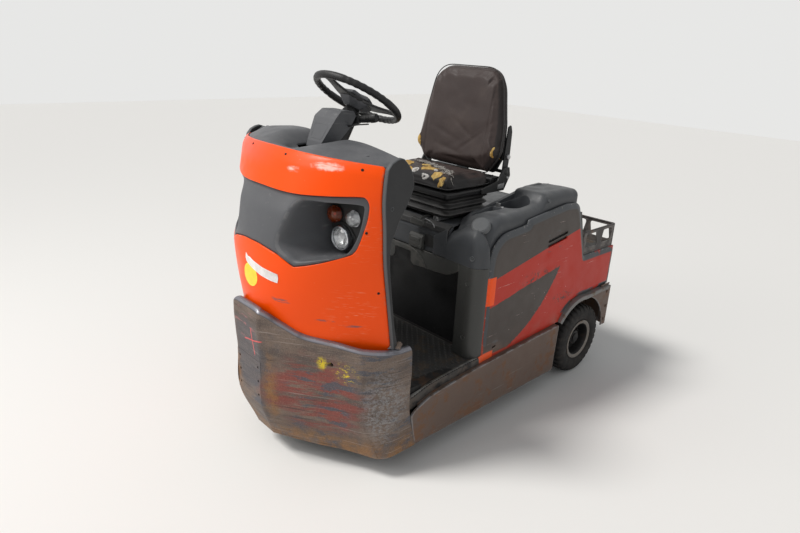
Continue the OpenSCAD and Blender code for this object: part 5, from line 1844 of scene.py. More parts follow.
def make_seat_pads():
    plan = rounded([(-232, -166, 26), (232, -166, 26), (236, 122, 34), (-236, 122, 34)], 7)

    def sit(v):
        s = (v.z - 1062) / 44
        crown = 7 * max(0.0, 1 - (v.x / 220) ** 2) * max(0.0, 1 - ((v.y + 20) / 150) ** 2)
        return (v.x, v.y, v.z + s * (crown + 5 * math.exp(-((v.y + 135) / 30) ** 2)))
    shell = prism("z", plan, 1062, 1111, 15, 4).warp(sit)
    pad = dress("seat_cushion_pad", shell, "vinyl", "seat", "seat_vinyl", ["seat_cushion"], soft=True)
    puffed(pad, lambda p: p.z < 1066)
    for v in pad.data.vertices:
        p = v.co / MM
        if p.z > 1080:
            v.co.z -= (crease(p, CUSHION_LINES) + wobble(p, 0.02, 2.2, 3.0)) * MM * ease((p.z - 1080) / 22)
        v.co.x = max(-0.2495, min(0.2495, v.co.x))
        v.co.y = max(-0.176, v.co.y)
        v.co.z = max(1.0565, v.co.z)
    apply_modifier(pad, "SUBSURF", levels=1, render_levels=1)

    outline = rounded([(-196, 1108, 50), (196, 1108, 50), (258, 1200, 70), (246, 1340, 200), (196, 1576, 116),
                       (-196, 1576, 116), (-246, 1340, 200), (-258, 1200, 70)], 10)

    def lean(v):
        y = back_plane(v.y) + (v.z - 8)
        wing = ease((abs(v.x) - 130) / 100) * (1 if v.z < 30 else 0)
        y -= (8 + 12 * ease((1400 - v.y) / 140)) * wing
        return (v.x, y, v.y)
    shell = prism("z", outline, 8, 56, 17, 4).warp(lean)
    back = dress("backrest_pad", shell, "vinyl", "backrest", "seat_vinyl", ["backrest_cushion"], soft=True)
    puffed(back, lambda p: p.y > back_plane(p.z) + 40)
    for v in back.data.vertices:
        p = v.co / MM
        front = ease((back_plane(p.z) + 26 - p.y) / 20)
        v.co.y += (crease((p.x, p.z), BACK_LINES) + wobble(p, 0.014, 3.0, 8.0)) * MM * front
        widest = mixed(0.2485, 0.259, ease((p.z - 1144) / 30) * ease((200 - p.y) / 12))
        v.co.x = max(-widest, min(widest, v.co.x))
        v.co.z = min(1.5778, max(1.104, v.co.z))
    apply_modifier(back, "SUBSURF", levels=1, render_levels=1)

    rim = [(x * 1.006, back_plane(z) + 17, z) for x, z in resample(offset(outline, 1.0), 12)]
    dress("backrest_piping", tube(spline(rim, 170, True), 2.4, 8, True), "dark", "backrest")
    rim = [(x, y, 1074) for x, y in resample(offset(plan, -5.5), 14)]
    dress("cushion_piping", tube(spline(rim, 150, True), 2.8, 8, True), "black", "seat")
    torn, lint_bits = Shell(), Shell()
    rng = random.Random(12)
    tree = surface_of(pad)

    def on_pad(u, v):
        hit = tree.ray_cast(Vector((u, v, 1300)) * MM, Vector((0, 0, -1)))[0]
        return hit.z / MM if hit is not None else 1084.0

    def patch(x, y, w, h, turn, proud, corners=11):
        a = math.radians(turn)
        loop = []
        for k in range(corners):
            b = math.tau * (k + rng.uniform(-0.3, 0.3)) / corners
            grow = rng.uniform(0.66, 1.08)
            px, py = w * grow * math.cos(b), h * grow * math.sin(b)
            loop.append((x + px * math.cos(a) - py * math.sin(a), y + px * math.sin(a) + py * math.cos(a)))

        def lie(u, v, d):
            return (u, v, on_pad(u, v) + proud + wobble((u, v, 0), 0.06, 1.6, 5.0) - d)
        return sheet(loop, [], lie, 5, 7, 1.2)
    for x, y, w, h, turn in ((-124, -62, 62, 34, -32), (38, -86, 52, 40, 12), (140, -128, 36, 24, 24),
                             (-52, -138, 40, 18, 4), (-196, -100, 30, 22, 30), (-30, -30, 30, 16, 20),
                             (186, -152, 22, 11, 0)):
        torn.join(patch(x, y, w, h, turn, 2.4))
    for x, y, w, h, turn in ((4, -134, 24, 13, 10), (96, -96, 22, 10, -35), (84, -148, 26, 9, 0)):
        lint_bits.join(patch(x, y, w, h, turn, 3.6, 15))
    dress("cushion_foam", torn, "foam", "seat", soft=True)
    back_foam = Shell()
    back_tree = surface_of(back)

    def on_back(u, v):
        hit = back_tree.ray_cast(Vector((u, -100, v)) * MM, Vector((0, 1, 0)))[0]
        return hit.y / MM if hit is not None else 175.0

    def stick(u, v, d):
        return (u, on_back(u, v) - 2 + d - wobble((u, v, 0), 0.07, 2, 2.0), v)
    for place in ((-229, 1204, 16, 20, 34), (238, 1210, 4.0, 20, 26)):
        loop = [(x + rng.uniform(-2, 2), z + rng.uniform(-3, 3)) for x, z in circle(*place)]
        back_foam.join(sheet(loop, [], stick, 6, 7, 1.2))
    dress("backrest_foam", back_foam, "foam", "backrest", soft=True)
    fluff = Shell()
    for k in range(FLUFF_COUNT):
        s = rng.random()
        x = mixed(-130, 196, s) + rng.uniform(-20, 20)
        y = mixed(14, -118, s * s) + rng.uniform(-16, 16)
        pts = [Vector((x, y, on_pad(x, y) + 3.0))]
        while len(pts) < len(FLUFF_RADII):
            p = pts[-1] + Vector((rng.uniform(-8, 8), rng.uniform(-8, 8), 0))
            p.z = on_pad(p.x, p.y) + rng.uniform(2.5, 7.0)
            pts.append(p)
        fluff.join(tube(pts, 1.0, 5, radii=FLUFF_RADII))
    fluff.join(lint_bits)
    dress("cushion_lint", fluff, "lint", "seat", soft=True)


def make_seat_frame():
    plan = rounded([(-252, -180, 26), (252, -180, 26), (252, 198, 18), (-252, 198, 18)], 7)
    tray = loft([[(p.x, p.y, z) for p in offset(plan, by)]
                 for by, z in ((14, 1034), (7, 1035), (5, 1038), (5, 1043), (2, 1045), (0, 1048), (0, 1054),
                               (1.5, 1057), (5, 1058), (9, 1056))])
    side = rounded([(40, 1034, 2), (200, 1034, 4), (238, 1100, 8), (228, 1140, 8), (186, 1140, 8),
                    (150, 1080, 30), (40, 1056, 2)], 5)
    brackets = prism("x", side, 251, 259.5, 1.4)
    brackets.join(lathe([(0, 0), (15, 0), (15, 4), (12, 6.5), (0, 7)], turned(254, 205,
                                                                              1118, toward=OUT), 28))
    tray.join(brackets.mirrored())
    dress("seat_pan_frame", tray, "black", "seat", "black_plastic", ["seat_pan"])
    cover = prism("x", rounded([(125, 1057.5, 4), (197, 1057.5, 4), (197, 1084, 10), (188, 1096, 10),
                                (134, 1097, 10), (125, 1090, 6)], 4), -237, 237, 5.0, 4)
    for x in range(-200, 201, 50):
        cover.join(block((x - 3, 150, 1094), (x + 3, 184, 1098.2), 0.8))
    dress("seat_rear_cover", cover, "black", "seat", "black_plastic")
    metal = prism("x", rounded([(150, 1046, 2), (196, 1046, 2), (196, 1070, 2), (150, 1066, 2)], 3), 259.6,
                  261.2, 0.4)
    metal.join(lathe([(0, 0), (7, 0), (7, 5), (5.5, 7), (0, 7.4)], turned(259.6, 214, 1092, toward=OUT), 6))
    dress("seat_tag", metal, "zinc", "seat")
    lever = tube(spline([(110, -120, 929), (110, -162, 928), (108, -188, 921), (106, -200, 912)], 16), 5.0,
                 10)
    grip = prism("y", rounded([(64, 896, 9), (148, 896, 9), (150, 922, 12), (70, 930, 12)], 6), -214, -197,
                 5, 3)
    dress("seat_lever", lever.join(grip), "post", "hood")
    wire = spline([(128, -176, 924), (150, -178, 922), (170, -178, 916), (182, -176, 902),
                   (183, -172, 890)], 24)
    dress("seat_wire", tube(wire, 2.6, 8), "zinc", "hood")
    rings = []
    for i in range(FOLDS * FOLD_STEPS + 1):
        t = i / (FOLDS * FOLD_STEPS)
        phase = (t * FOLDS) % 1.0
        inset = 12 + 15 * abs(math.cos(math.pi * phase)) ** 1.6
        w, h = SEAT_HW - inset, 160 - inset
        corner = rounded([(-w, -h - 10, 38), (w, -h - 10, 38), (w, h - 10, 38), (-w, h - 10, 38)], 7)
        z = mixed(*BELLOWS_Z, t)
        rings.append([(x, y + wobble((x, y, t * 60), 0.02, 2.0), z) for x, y in corner])
    dress("seat_bellows_folds", loft(rings), "rubber", "seat", "black_rubber", ["seat_bellows"], sharp=60)
    rails = Shell()
    for x in (150, 180):
        rails.join(block((x, -150, 920.2), (x + 5, 190, 937.8), 0.8))
    rails.join(block((150, -150, 920.2), (185, 190, 924), 0.6))
    rails.join(block((155.4, -146, 925), (179.6, 186, 937), 1.0))
    for y in (-120, 160):
        rails.join(lathe([(0, 0), (6.5, 0), (6.5, 4), (0, 4)], turned(167, y, 937), 6))
    dress("seat_rail_channels", rails.mirrored(), "zinc", "hood", "rail_steel", ["seat_rails"])


def make_back_shell():
    outline = rounded([(-200, 1104, 40), (200, 1104, 40), (242, 1184, 60), (234, 1330, 200), (192, 1556, 110),
                       (-192, 1556, 110), (-234, 1330, 200), (-242, 1184, 60)], 10)

    def lift(u, v, d):
        y = mixed(222, 245, (v - 1104) / 440) - 20 * ease((abs(u) - 120) / 110)
        y -= 5 * ease((v - 1460) / 90) + 3 * ease((1150 - v) / 60)
        rib = 2.0 * math.exp(-((abs(u) - 90) / 9) ** 2) * ease((v - 1150) / 40) * ease((1500 - v) / 40)
        return (u, y - rib - d, v)
    shell = sheet(outline, [], lift, 12, 16, 4.0)
    shell.join(tube([(-256, 205, 1118), (256, 205, 1118)], 8, 20))
    for x in (-150, 150):
        shell.join(prism("x", rounded([(196, 1108, 4), (216, 1108, 4), (222, 1260, 8), (208, 1260, 8)], 4),
                         x - 16, x + 16, 2))
    dress("backrest_shell_cover", shell, "black", "backrest", "black_plastic", ["backrest_shell"])
    arm = prism("x", rounded([(188, 1106, 6), (224, 1106, 8), (233, 1200, 30), (233, 1300, 14),
                              (222, 1332, 8), (204, 1322, 8), (194, 1200, 30)], 5), 242.6, 249.6, 1.6, 3)
    dress("backrest_arms", arm.mirrored(), "black", "backrest", "black_plastic")
    knob = lathe([(0, 0), (10, 0), (10, 8), (13, 12), (13, 22), (10, 26), (0, 27)],
                 turned(234, 215, 1186, toward=OUT), 24)
    dress("backrest_adjuster", knob, "zinc", "backrest")


# Dash, steering and the driver's footwell

CHEEK_LINE = [(-648, 1288), (-622, 1262), (-604, 1232), (-596, 1196), (-606, 1158), (-628, 1118),
              (-652, 1080), (-671, 1041), (-690, 1000), (-696, 960), (-694, 900), (-686, 835), (-672, 740),
              (-658, 653), (-644, 590), (-636, 528.3)]
SHIELD = [(528.3, -640), (720, -650), (950, -655), (1090, -612), (1180, -600), (1240, -612), (1345, -612)]
RIDGE_LEFT = [(0, 1256), (56, 1256), (72, 1264), (92, 1294), (112, 1301), (205, 1301), (291, 1292),
              (386, 1278), (436, 1268), (456, 1260)]
RIDGE_RIGHT = [(0, 1256), (52, 1257), (88, 1282), (122, 1304), (155, 1314), (267, 1312), (340, 1301),
               (380, 1288), (418, 1270), (456, 1260)]
RISE_LEFT = [(0, 0.0), (0.05, 0.10), (0.5, 0.62), (0.88, 0.98), (1.0, 1.0)]
RISE_RIGHT = [(0, 0.0), (0.05, 0.12), (0.3, 0.66), (0.48, 0.97), (0.6, 1.0), (1.0, 0.9)]
DASH_BACK = -606.0
BINNACLE_HW = 67.0
COLUMN = Matrix.Translation((0, -480, 1442)) @ Matrix.Rotation(math.radians(-31), 4, "X")
WHEEL_R = 178.0
RIM_STEPS = 220
SPOKES = (-90, 30, 150)


def make_cheeks():
    front = [(curve(z, COWL_EDGE) + 2.5, z) for z in np.linspace(COWL_BOTTOM, 1240, 22)]
    back = [tuple(p) for p in spline(CHEEK_LINE, 60)]
    outer = prism("x", front + [(-722, 1258), (-704, 1278), (-680, 1289), (-662, 1292)] + back, 450.6, 471,
                  6, 3)
    inner = prism("x", [(y + 11, z) for y, z in front] + [(-700, 1258)] + back, 426, 452, 2, 2)
    outer.join(inner)
    outer.join(screw_cup((471.2, curve(1120, COWL_EDGE) + 34, 1120), (1, 0, 0), 6, 4))
    dress("cowl_cheek_covers", outer.mirrored(), "cheek", "tug", "grey_plastic", ["cowl_cheeks"])


def dash_front(x):
    return cowl_face(x, cowl_top(x)) + COVER_T + 14.0


def dash_height(x, s):
    a = abs(x)
    ridge, rise = (RIDGE_LEFT, RISE_LEFT) if x > 0 else (RIDGE_RIGHT, RISE_RIGHT)
    z = mixed(cowl_top(x) - 1.0, curve(a, ridge), curve(s, rise))
    if a < 60:
        z = mixed(cowl_top(x) - 1.0, 1256, ease(s * 2.2))
    return z - 9 * ease((a - 415) / 40) * ease(s * 3) - 3 * (1 - ease(s / 0.06))


def make_dash():
    def lift(x, t, d):
        s = t / 200
        return (x, mixed(dash_front(x), DASH_BACK, s), dash_height(x, s) - d)
    plan = rounded([(-452, 3, 16), (452, 3, 16), (450, 200, 26), (70, 200, 2), (70, 108, 6), (-70, 108, 6),
                    (-70, 200, 2), (-450, 200, 26)], 6)
    shell = sheet(plan, [], lift, COVER_T, 11, 3.6)
    lip = [(x, DASH_BACK - 2, dash_height(x, 1.0) - 11) for x in range(-444, 445, 12)]
    for half in ([p for p in lip if p[0] > 74], [p for p in lip if p[0] < -74]):
        shell.join(tube(half, 6.5, 10))
    for x in (-330, 330):
        z = dash_height(x, 0.5)
        shell.join(lathe([(0, -2), (7, -2), (7, 0.6), (5, 1.8), (0, 2)],
                         turned(x, mixed(dash_front(x), DASH_BACK, 0.5), z, toward=(0, -0.05, 1)), 20))
    dress("dash_cover_top", shell, "grey", "tug", "grey_plastic", ["dash_cover"])
    profile = rounded([(-698, 1262, 3), (-690, 1286, 6), (-640, 1376, 30), (-608, 1403, 12), (-548, 1400, 6),
                       (-540, 1382, 5), (-569, 1335, 12), (-628, 1262, 4)], 5)
    box = prism("x", profile, -BINNACLE_HW, BINNACLE_HW, 13.0, 4)
    widths = [(1262, 0.68), (1288, 0.72), (1338, 1.0), (1350, 1.02), (1391, 1.0), (1404, 0.90)]
    box.warp(lambda v: (v.x * curve(v.z, widths), v.y, v.z))
    groove = []
    for x, z in rounded([(-34, 1296, 8), (34, 1296, 8), (45, 1350, 10), (-45, 1350, 10)], 5):
        groove.append(Vector((x, -690 + (z - 1286) * 0.555 + 0.2, z)))
    box.join(tube(groove, 0.9, 6, True))
    dress("binnacle_box", box, "grey", "tug", "grey_plastic", ["binnacle"])
    m = turned(0, -552, 1358, toward=(0, 46, -31))
    face = block((-54, -29, -3), (54, 29, 2.4), 2.2, 3).moved(m)
    for k in range(5):
        face.join(block((-44 + k * 19, -24, 2), (-32 + k * 19, -14, 4.4), 1.2), m)
    dress("instrument_face", face, "black", "tug")
    dress("instrument_glass", block((-46, -8, 2.2), (46, 22, 3.4), 0.5).moved(m),
          "mirror", "tug", "lamp_lens")


def make_footwell():
    def line(x, z, d):
        y = curve(z, SHIELD) - d
        fold = 5 * math.exp(-((abs(x) - 250) / 8) ** 2) * ease((z - 560) / 40) * ease((1080 - z) / 40)
        return (x, y - fold, z)
    tops = []
    for x in range(424, -425, -16):
        tops.append((x, 1252 if abs(x) < 72 else dash_height(x, 1.0) - 10))
    shell = sheet([(-424, 528.4), (424, 528.4)] + tops, [], line, 9, 18, 2.5)
    for x in (-180, 180):
        for z in (620, 1040):
            shell.join(screw_cup((x, curve(z, SHIELD) + 0.6, z), (0, 1, 0), 7, 4))
    dress("leg_shield_panel", shell, "liner", "tug", "black_plastic", ["leg_shield"])
    pedals = Shell()
    for x in (-360, -272):
        pedals.join(prism("x", rounded([(-430, 350.3, 1), (-430, 361, 4), (-484, 366, 20), (-531, 457, 4),
                                        (-543, 452, 4), (-506, 364, 10), (-506, 350.3, 1)],
                                       5), x - 35, x + 35, 2))
        for k in range(6):
            t = 0.16 + k * 0.14
            y, z = mixed(-488, -532, t) + 2.2, mixed(368, 458, t) + 1.0
            pedals.join(block((x - 30, -2.6, -2), (x + 30, 2.6, 2), 1.2).moved(
                turned(0, y, z, axis="X", angle=-26)))
    dress("pedal_pads", pedals, "rubber", "tug", "black_plastic", ["pedals"])


def make_column():
    cover = lathe([(13, -258), (31, -258), (37, -236), (37.8, -190), (36, -120), (34.5, -86), (36.5, -80),
                   (36.5, -66), (31, -54), (25, -44), (13, -43)], COLUMN, 44)
    for k in range(3):
        cover.join(lathe([(36, -104 + k * 9), (38, -102.5 + k * 9), (38, -99.5 + k * 9), (36, -98 + k * 9),
                          (30, -98 + k * 9), (30, -104 + k * 9)], COLUMN, 44))
    dress("column_sleeve", cover, "black", "tug", "black_plastic", ["column_cover"])
    arm = COLUMN @ Matrix.Translation((34, 0, -92)) @ Matrix.Rotation(math.radians(12), 4, "Z") \
        @ Matrix.Rotation(math.radians(72), 4, "Y")
    profile = [(0, 1)]
    for k in range(5):
        r = 21.0 - 1.0 * k
        profile += [(r, 2 + 6 * k), (r, 5 + 6 * k), (r - 2.6, 6.2 + 6 * k), (r - 2.6, 7.4 + 6 * k)]
    profile += [(12.6, 33), (14.6, 38), (15.6, 60), (15.0, 78), (15.8, 80), (18.2, 83), (18.4, 98),
                (16.6, 108), (10, 113.4), (0, 114)]
    stalk = lathe(profile, arm, 26)
    for h in (64, 71):
        stalk.join(lathe([(15, h), (16.6, h + 0.8), (16.6, h + 2.6), (15, h + 3.4), (11, h + 3.4), (11, h)],
                         arm, 26))
    path = spline([(28, -20, -132), (66, -27, -130), (110, -33, -122), (150, -36, -116), (172, -36, -112)],
                  20)
    stalk.join(tube([COLUMN @ p for p in path], 4.4, section=circle(0, 0, 1.9, 14, 0.62)))
    dress("control_stalk_handle", stalk, "black", "tug", "black_plastic", ["control_stalk"])


def make_steering_wheel():
    path, radii = [], []
    for k in range(RIM_STEPS):
        a = math.tau * k / RIM_STEPS
        deg = math.degrees(a)
        path.append(COLUMN @ Vector((WHEEL_R * math.cos(a), WHEEL_R * math.sin(a), 0)))
        grip = 0.0
        for centre in (-150, -30, 90, 210, 330):
            away = abs((deg - centre + 180) % 360 - 180)
            grip = max(grip, ease((34 - away) / 8))
        radii.append(13.8 + 1.0 * (1 - grip) + grip * 0.75 * math.cos(math.radians(deg * 40)))
    wheel = tube(path, 13, 20, True, radii=radii)
    for a in SPOKES:
        turn = COLUMN @ Matrix.Rotation(math.radians(a), 4, "Z")
        rings = []
        for s in np.linspace(0, 1, 15):
            r = mixed(40, WHEEL_R - 7, s)
            half = mixed(40, 21, ease(s * 1.25)) + 7 * ease((s - 0.86) / 0.14)
            z = -14 + 9 * ease(s) - 2.5 * math.sin(math.pi * s)
            thick = mixed(5.5, 3.6, s)
            ring = rounded([(-half, z - thick, 2.6), (half, z - thick, 2.6), (half - 2, z + thick, 2.6),
                            (-half + 2, z + thick, 2.6)], 3)
            rings.append([turn @ Vector((r, u, h)) for u, h in ring])
        wheel.join(loft(rings))
    wheel.join(lathe([(13, -20), (52, -20), (55, -16), (55, -8), (52, -4.4), (13, -4.4)], COLUMN, 48))
    dress("steering_wheel_rim", wheel, "black", "steering", "black_plastic", ["steering_wheel"])
    hub = Shell()
    corners = []
    for a0 in SPOKES:
        for da, r in ((-26, 66), (26, 66), (60, 46)):
            a = math.radians(a0 + da)
            corners.append((r * math.cos(a), r * math.sin(a), 10))
    hub.join(prism("z", rounded(corners, 4), -5, 9, 4.0, 3), COLUMN)
    under = rounded([(x, y, 8) for x, y, _ in corners], 4)
    rings = []
    for share, h in ((0.56, -46), (0.66, -45), (0.92, -31), (1.06, -24), (1.10, -19), (1.06, -15)):
        rings.append([COLUMN @ Vector((x * share, y * share, h)) for x, y in under])
    hub.join(loft(rings))
    for a0 in (30, 150, 270):
        a = math.radians(a0)
        lobe = [(r * math.cos(a + da), r * math.sin(a + da), 5)
                for r, da in ((13, math.pi / 2), (13, -math.pi / 2), (56, -0.5), (56, 0.5))]
        shell = prism("z", rounded(lobe, 3), 6, 17, 4.0, 3)
        c, s = math.cos(a), math.sin(a)
        shell.warp(lambda v: (v.x, v.y, v.z - 6.0 * max(0.0, (v.x * c + v.y * s) - 20) / 34))
        hub.join(shell, COLUMN)
    hub.join(lathe([(0, -240), (12, -240), (12, -2), (0, -2)], COLUMN, 28))
    dress("steering_hub_pad", hub, "grey", "steering", "grey_plastic", ["steering_hub"])


# Floor, sills, tail and wheels

SILL_TOP = [(-541, 266), (-500, 282), (-440, 299), (-130, 325), (465, 350)]
STRIP = [(-545, 309), (-443, 334), (-192, 351), (-126, 352)]
FLOOR_TOP = 350.0
FOOT_HOLE = 257.0


def floor_drop(x, y):
    """How far the floor's side borders slope down toward the front."""
    return (FLOOR_TOP - curve(y, STRIP)) * ease((abs(x) - 392) / 60)


def stud(x, y, z, wide, high, sides, levels):
    """Raised tread mark; levels are shares of its size with heights."""
    return loft([[(u, v, z + h) for u, v in circle(x, y, wide * r, sides, high * r)] for r, h in levels])


def make_floor_plate():
    plan = [(460, -560), (460, -127), (-460, -127), (-460, -560)]
    plan += [(FOOT_HOLE * math.cos(a), -680 + FOOT_HOLE * math.sin(a))
             for a in map(math.radians, range(152, 27, -4))]
    shell = sheet(plan, [], lambda u, v, d: (u, v, 347.8 - floor_drop(u, v) - d), 4.5, 20, 1.2)
    for row in range(24):
        y = 17.0 * row - 536.0
        for k in range(25):
            x = 36.0 * k - (414 if row % 2 else 432)
            if x < 440 and math.hypot(x, y + 680) > FOOT_HOLE + 14:
                shell.join(stud(x, y, 347.6 - floor_drop(x, y), 9.5, 4.6, 10,
                                ((1.0, 0.0), (0.82, 1.3), (0.5, 2.1), (0.16, 2.4))))
    dress("floor_tread_plate", shell, "tread", "tug", "tread_plate", ["floor_plate"])
    strip = [(456, -568)]
    for k in range(31):
        y = -568 + k * 14
        strip += [(473, y), (470, y + 4), (470, y + 9), (473, y + 13)]
    strip += [(456, -130)]
    edge = sheet(strip, [], lambda u, v, d: (u, v, curve(v, STRIP) + 3.2 - d), 2.6, 0, 0.8)
    dress("floor_edge_strip", edge.mirrored(), "rail", "tug", "tread_plate")
    lip = [(y, curve(y, STRIP) + 2) for y in range(-575, -129, 15)]
    lip += [(y, curve(y, SILL_TOP) - 6) for y in range(-135, -576, -15)]
    skirt = sheet(lip, [], flat("x", 476.5, -1), 3, 0, 1.0)
    dress("floor_edge_skirt", skirt.mirrored(), "frame", "tug", "tread_plate")


def make_sills():
    def dent(u, v):
        return max(0.0, wobble((u, v, 0), 0.009, 5.0, 2.0)) + max(0.0, wobble((u, v, 0), 0.035, 1.4, 6.0))
    outline = [(-541, 96), (457, 95), (466, 343), (461, 349)]
    outline += [(y, curve(y, SILL_TOP)) for y in range(430, -501, -30)]
    outline += [(-541, 266), (-556, 256), (-571.5, 240)]
    shell = sheet(outline, [], lambda u, v, d: (498 - 0.6 * dent(u, v) - d, u, v), 11, 15, 3.4, 3, 20)
    top = []
    for y in list(range(-520, 460, 20)) + [459]:
        z = curve(y, SILL_TOP)
        top.append([(462, y, z - 12), (487, y, z - 11), (487, y, z - 0.4), (476, y, z), (462, y, z - 1)])
    shell.join(loft(top))
    foot = [[(440, y, 95.4), (487, y, 95.2), (487, y, 105), (440, y, 105)] for y in (-540, -40, 456)]
    shell.join(loft(foot))
    for y in (-430, -200, 60, 300):
        shell.join(lathe([(0, -1), (8.5, -1), (8.5, 3.2), (6.5, 5), (0, 5.4)],
                         turned(491.5, y, 128, toward=OUT), 6))
    dress("sill_plate_left", shell, "sill", "tug", "sill_steel", ["sill_left"])
    dress("sill_plate_right", Shell().join(shell, mirror=True), "sill", "tug", "sill_steel", ["sill_right"])


def make_deck():
    top = sheet([(-444, 682), (444, 682), (444, 944), (-444, 944)], [], flat("z", 673.2), 10, 20, 1.5)
    for row in range(16):
        for k in range(25):
            x = -420 + k * 35 + (17 if row % 2 else 0)
            if x <= 432:
                top.join(stud(x, 692 + row * 16, 673.1, 8.5, 4, 8, ((1.0, 0.0), (0.8, 1.1), (0.4, 1.8))))
    for x0, x1, y0, y1, bevel in ((-456.5, 456.5, 662, 680, 2.0), (-456.5, 456.5, 944.5, REAR_Y, 2.0),
                                  (-456.5, -445, 680, 945, 1.6), (445, 456.5, 680, 945, 1.6)):
        top.join(block((x0, y0, 662.2), (x1, y1, 671.6), bevel))
    dress("deck_top_plate", top, "tread", "tug", "tread_plate", ["deck_plate"])


def make_basket():
    shell = Shell()
    side = rounded([(676, 672.4, 2), (957, 672.4, 2), (957, 799.6, 10), (654, 799.6, 12), (654, 742, 8)], 5)
    holes = [rounded([(682, 708, 14), (790, 708, 14), (772, 781, 14), (676, 781, 14)], 5),
             rounded([(832, 712, 14), (934, 712, 14), (934, 781, 14), (846, 781, 14)], 5)]
    plate = sheet(side, holes, flat("x", 456, -1), 5, 22, 2.0)
    plate.join(tube([(453, y, 796) for y in np.linspace(662, 952, 16)], 5.0, 10))
    plate.join(tube([(453, y, 685) for y in np.linspace(676, 952, 14)], 3.6, 10))
    shell.join(plate.mirrored())
    back = rounded([(-456, 672.4, 2), (456, 672.4, 2), (456, 799.6, 10), (-456, 799.6, 10)], 5)
    gaps = []
    for k in range(6):
        x = -447 + k * 149.5
        lean = 8 if k % 2 else -8
        gaps.append(rounded([(x + 18 + lean, 706, 14), (x + 129 + lean, 706, 14),
                             (x + 129 - lean, 781, 14), (x + 18 - lean, 781, 14)], 5))
    shell.join(sheet(back, gaps, flat("y", 957, -1), 5, 26, 2.0))
    shell.join(tube([(x, 954, 796) for x in np.linspace(-450, 450, 24)], 5.0, 10))
    for x in (-452, 452):
        shell.join(tube([(x, 953, z) for z in np.linspace(676, 797, 8)], 5.0, 10))
    for x in (-420, 420):
        for y in (700, 930):
            shell.join(lathe([(0, 0), (7, 0), (7, 4.5), (0, 5)], turned(x, y, 675.2), 6))
    dress("basket_fence", shell, "basket", "tug", "sill_steel", ["basket"])


TAIL_LAMPS = (-400, 400)


def ring_band(section, a0, a1, count):
    """Sheet that leaves the tail level and turns down over the wheel."""
    top = section[0][1]
    rings = [[(x, y, 450.6 + r - top) for x, r in section] for y in (957, 905, 858)]
    for k in range(count + 1):
        a = math.radians(mixed(a0, a1, k / count))
        rings.append([(x, ARCH[0] + r * math.cos(a), ARCH[1] + r * math.sin(a)) for x, r in section])
    return loft(rings)


def make_rear():
    hole = circle(*REAR_WHEEL[1:], 60, 28)
    side = prism("x", [(440, 338), (440, 661), (953, 661), (953, 214.5), (880, 214.5)], 345.4, 356.6,
                 holes=[hole[::-1]])
    arch = ring_band([(357, 249.4), (484, 249.4), (489, 248), (491.6, 244), (491.4, 229), (488.5, 226.6),
                      (485.6, 229), (485.6, 242.8), (357, 243.4)], 80.0, 142.3, 30)
    gusset = [(922, 214.4), (964.6, 214.4), (964.6, 447), (712, 444)] + arc(*ARCH, 238, 84, 4, 20)
    side.join(sheet(gusset, [], flat("x", 489.8), 8, 16, 1.6))
    side.join(block((456, 953, 214.6), (489.4, 964.4, 446.5), 1.0))
    side.join(prism("x", rounded([(880, 451.4, 2), (964.6, 451.4, 2), (964.6, 462, 3), (874, 462, 3)], 3),
                    475.2, 479, 1.0))
    for y, z in ((940, 250), (940, 330), (930, 420)):
        side.join(lathe([(0, 0), (8, 0), (8, 4), (6, 6), (0, 6.4)], turned(489.8, y, z, toward=OUT), 6))
    shell = side.mirrored()
    lamps = [circle(x, 600, 42, 36) for x in TAIL_LAMPS]
    bay = rounded([(-118, 250, 6), (118, 250, 6), (118, 550, 6), (-118, 550, 6)], 4)
    wall = rounded([(-456, 214.4, 4), (456, 214.4, 4), (456, 661.4, 4), (-456, 661.4, 4)], 3)

    def pressed(u, v, d):
        return (u, REAR_Y - d - max(0, wobble((u, v, 0), 0.01, 3.0, 1.0)), v)
    shell.join(sheet(wall, lamps + [bay], pressed, 10, 26, 2.4))
    shell.join(block((-130, 900, 240), (130, 912, 560), 1.0))
    for s in (-1, 1):
        shell.join(block((s * 124 - 6, 910, 240), (s * 124 + 6, 956, 560), 1.0))
    for x in (-300, -200, 200, 300):
        for z in (300, 500):
            shell.join(lathe([(0, 0), (10, 0), (10, 4), (7.5, 6.5), (0, 7)],
                             turned(x, 964, z, toward=BACK), 6))
    dress("wheel_arch_bands", arch.mirrored(), "rail", "tug", "sill_steel")
    dress("rear_steelwork", shell, "sill", "tug", "sill_steel", ["rear_frame"])
    lens = Shell()
    for x in TAIL_LAMPS:
        lens.join(lathe([(0, 0), (41, 0), (41, 24), (39, 25.4), (33, 24.2), (26, 25.6), (19, 24.4),
                         (12, 25.8), (0, 26)], turned(x, 941, 600, toward=BACK), 48))
    dress("tail_lamp_lenses", lens, "red_lens", "tug", "red_lens", ["tail_lamps"])


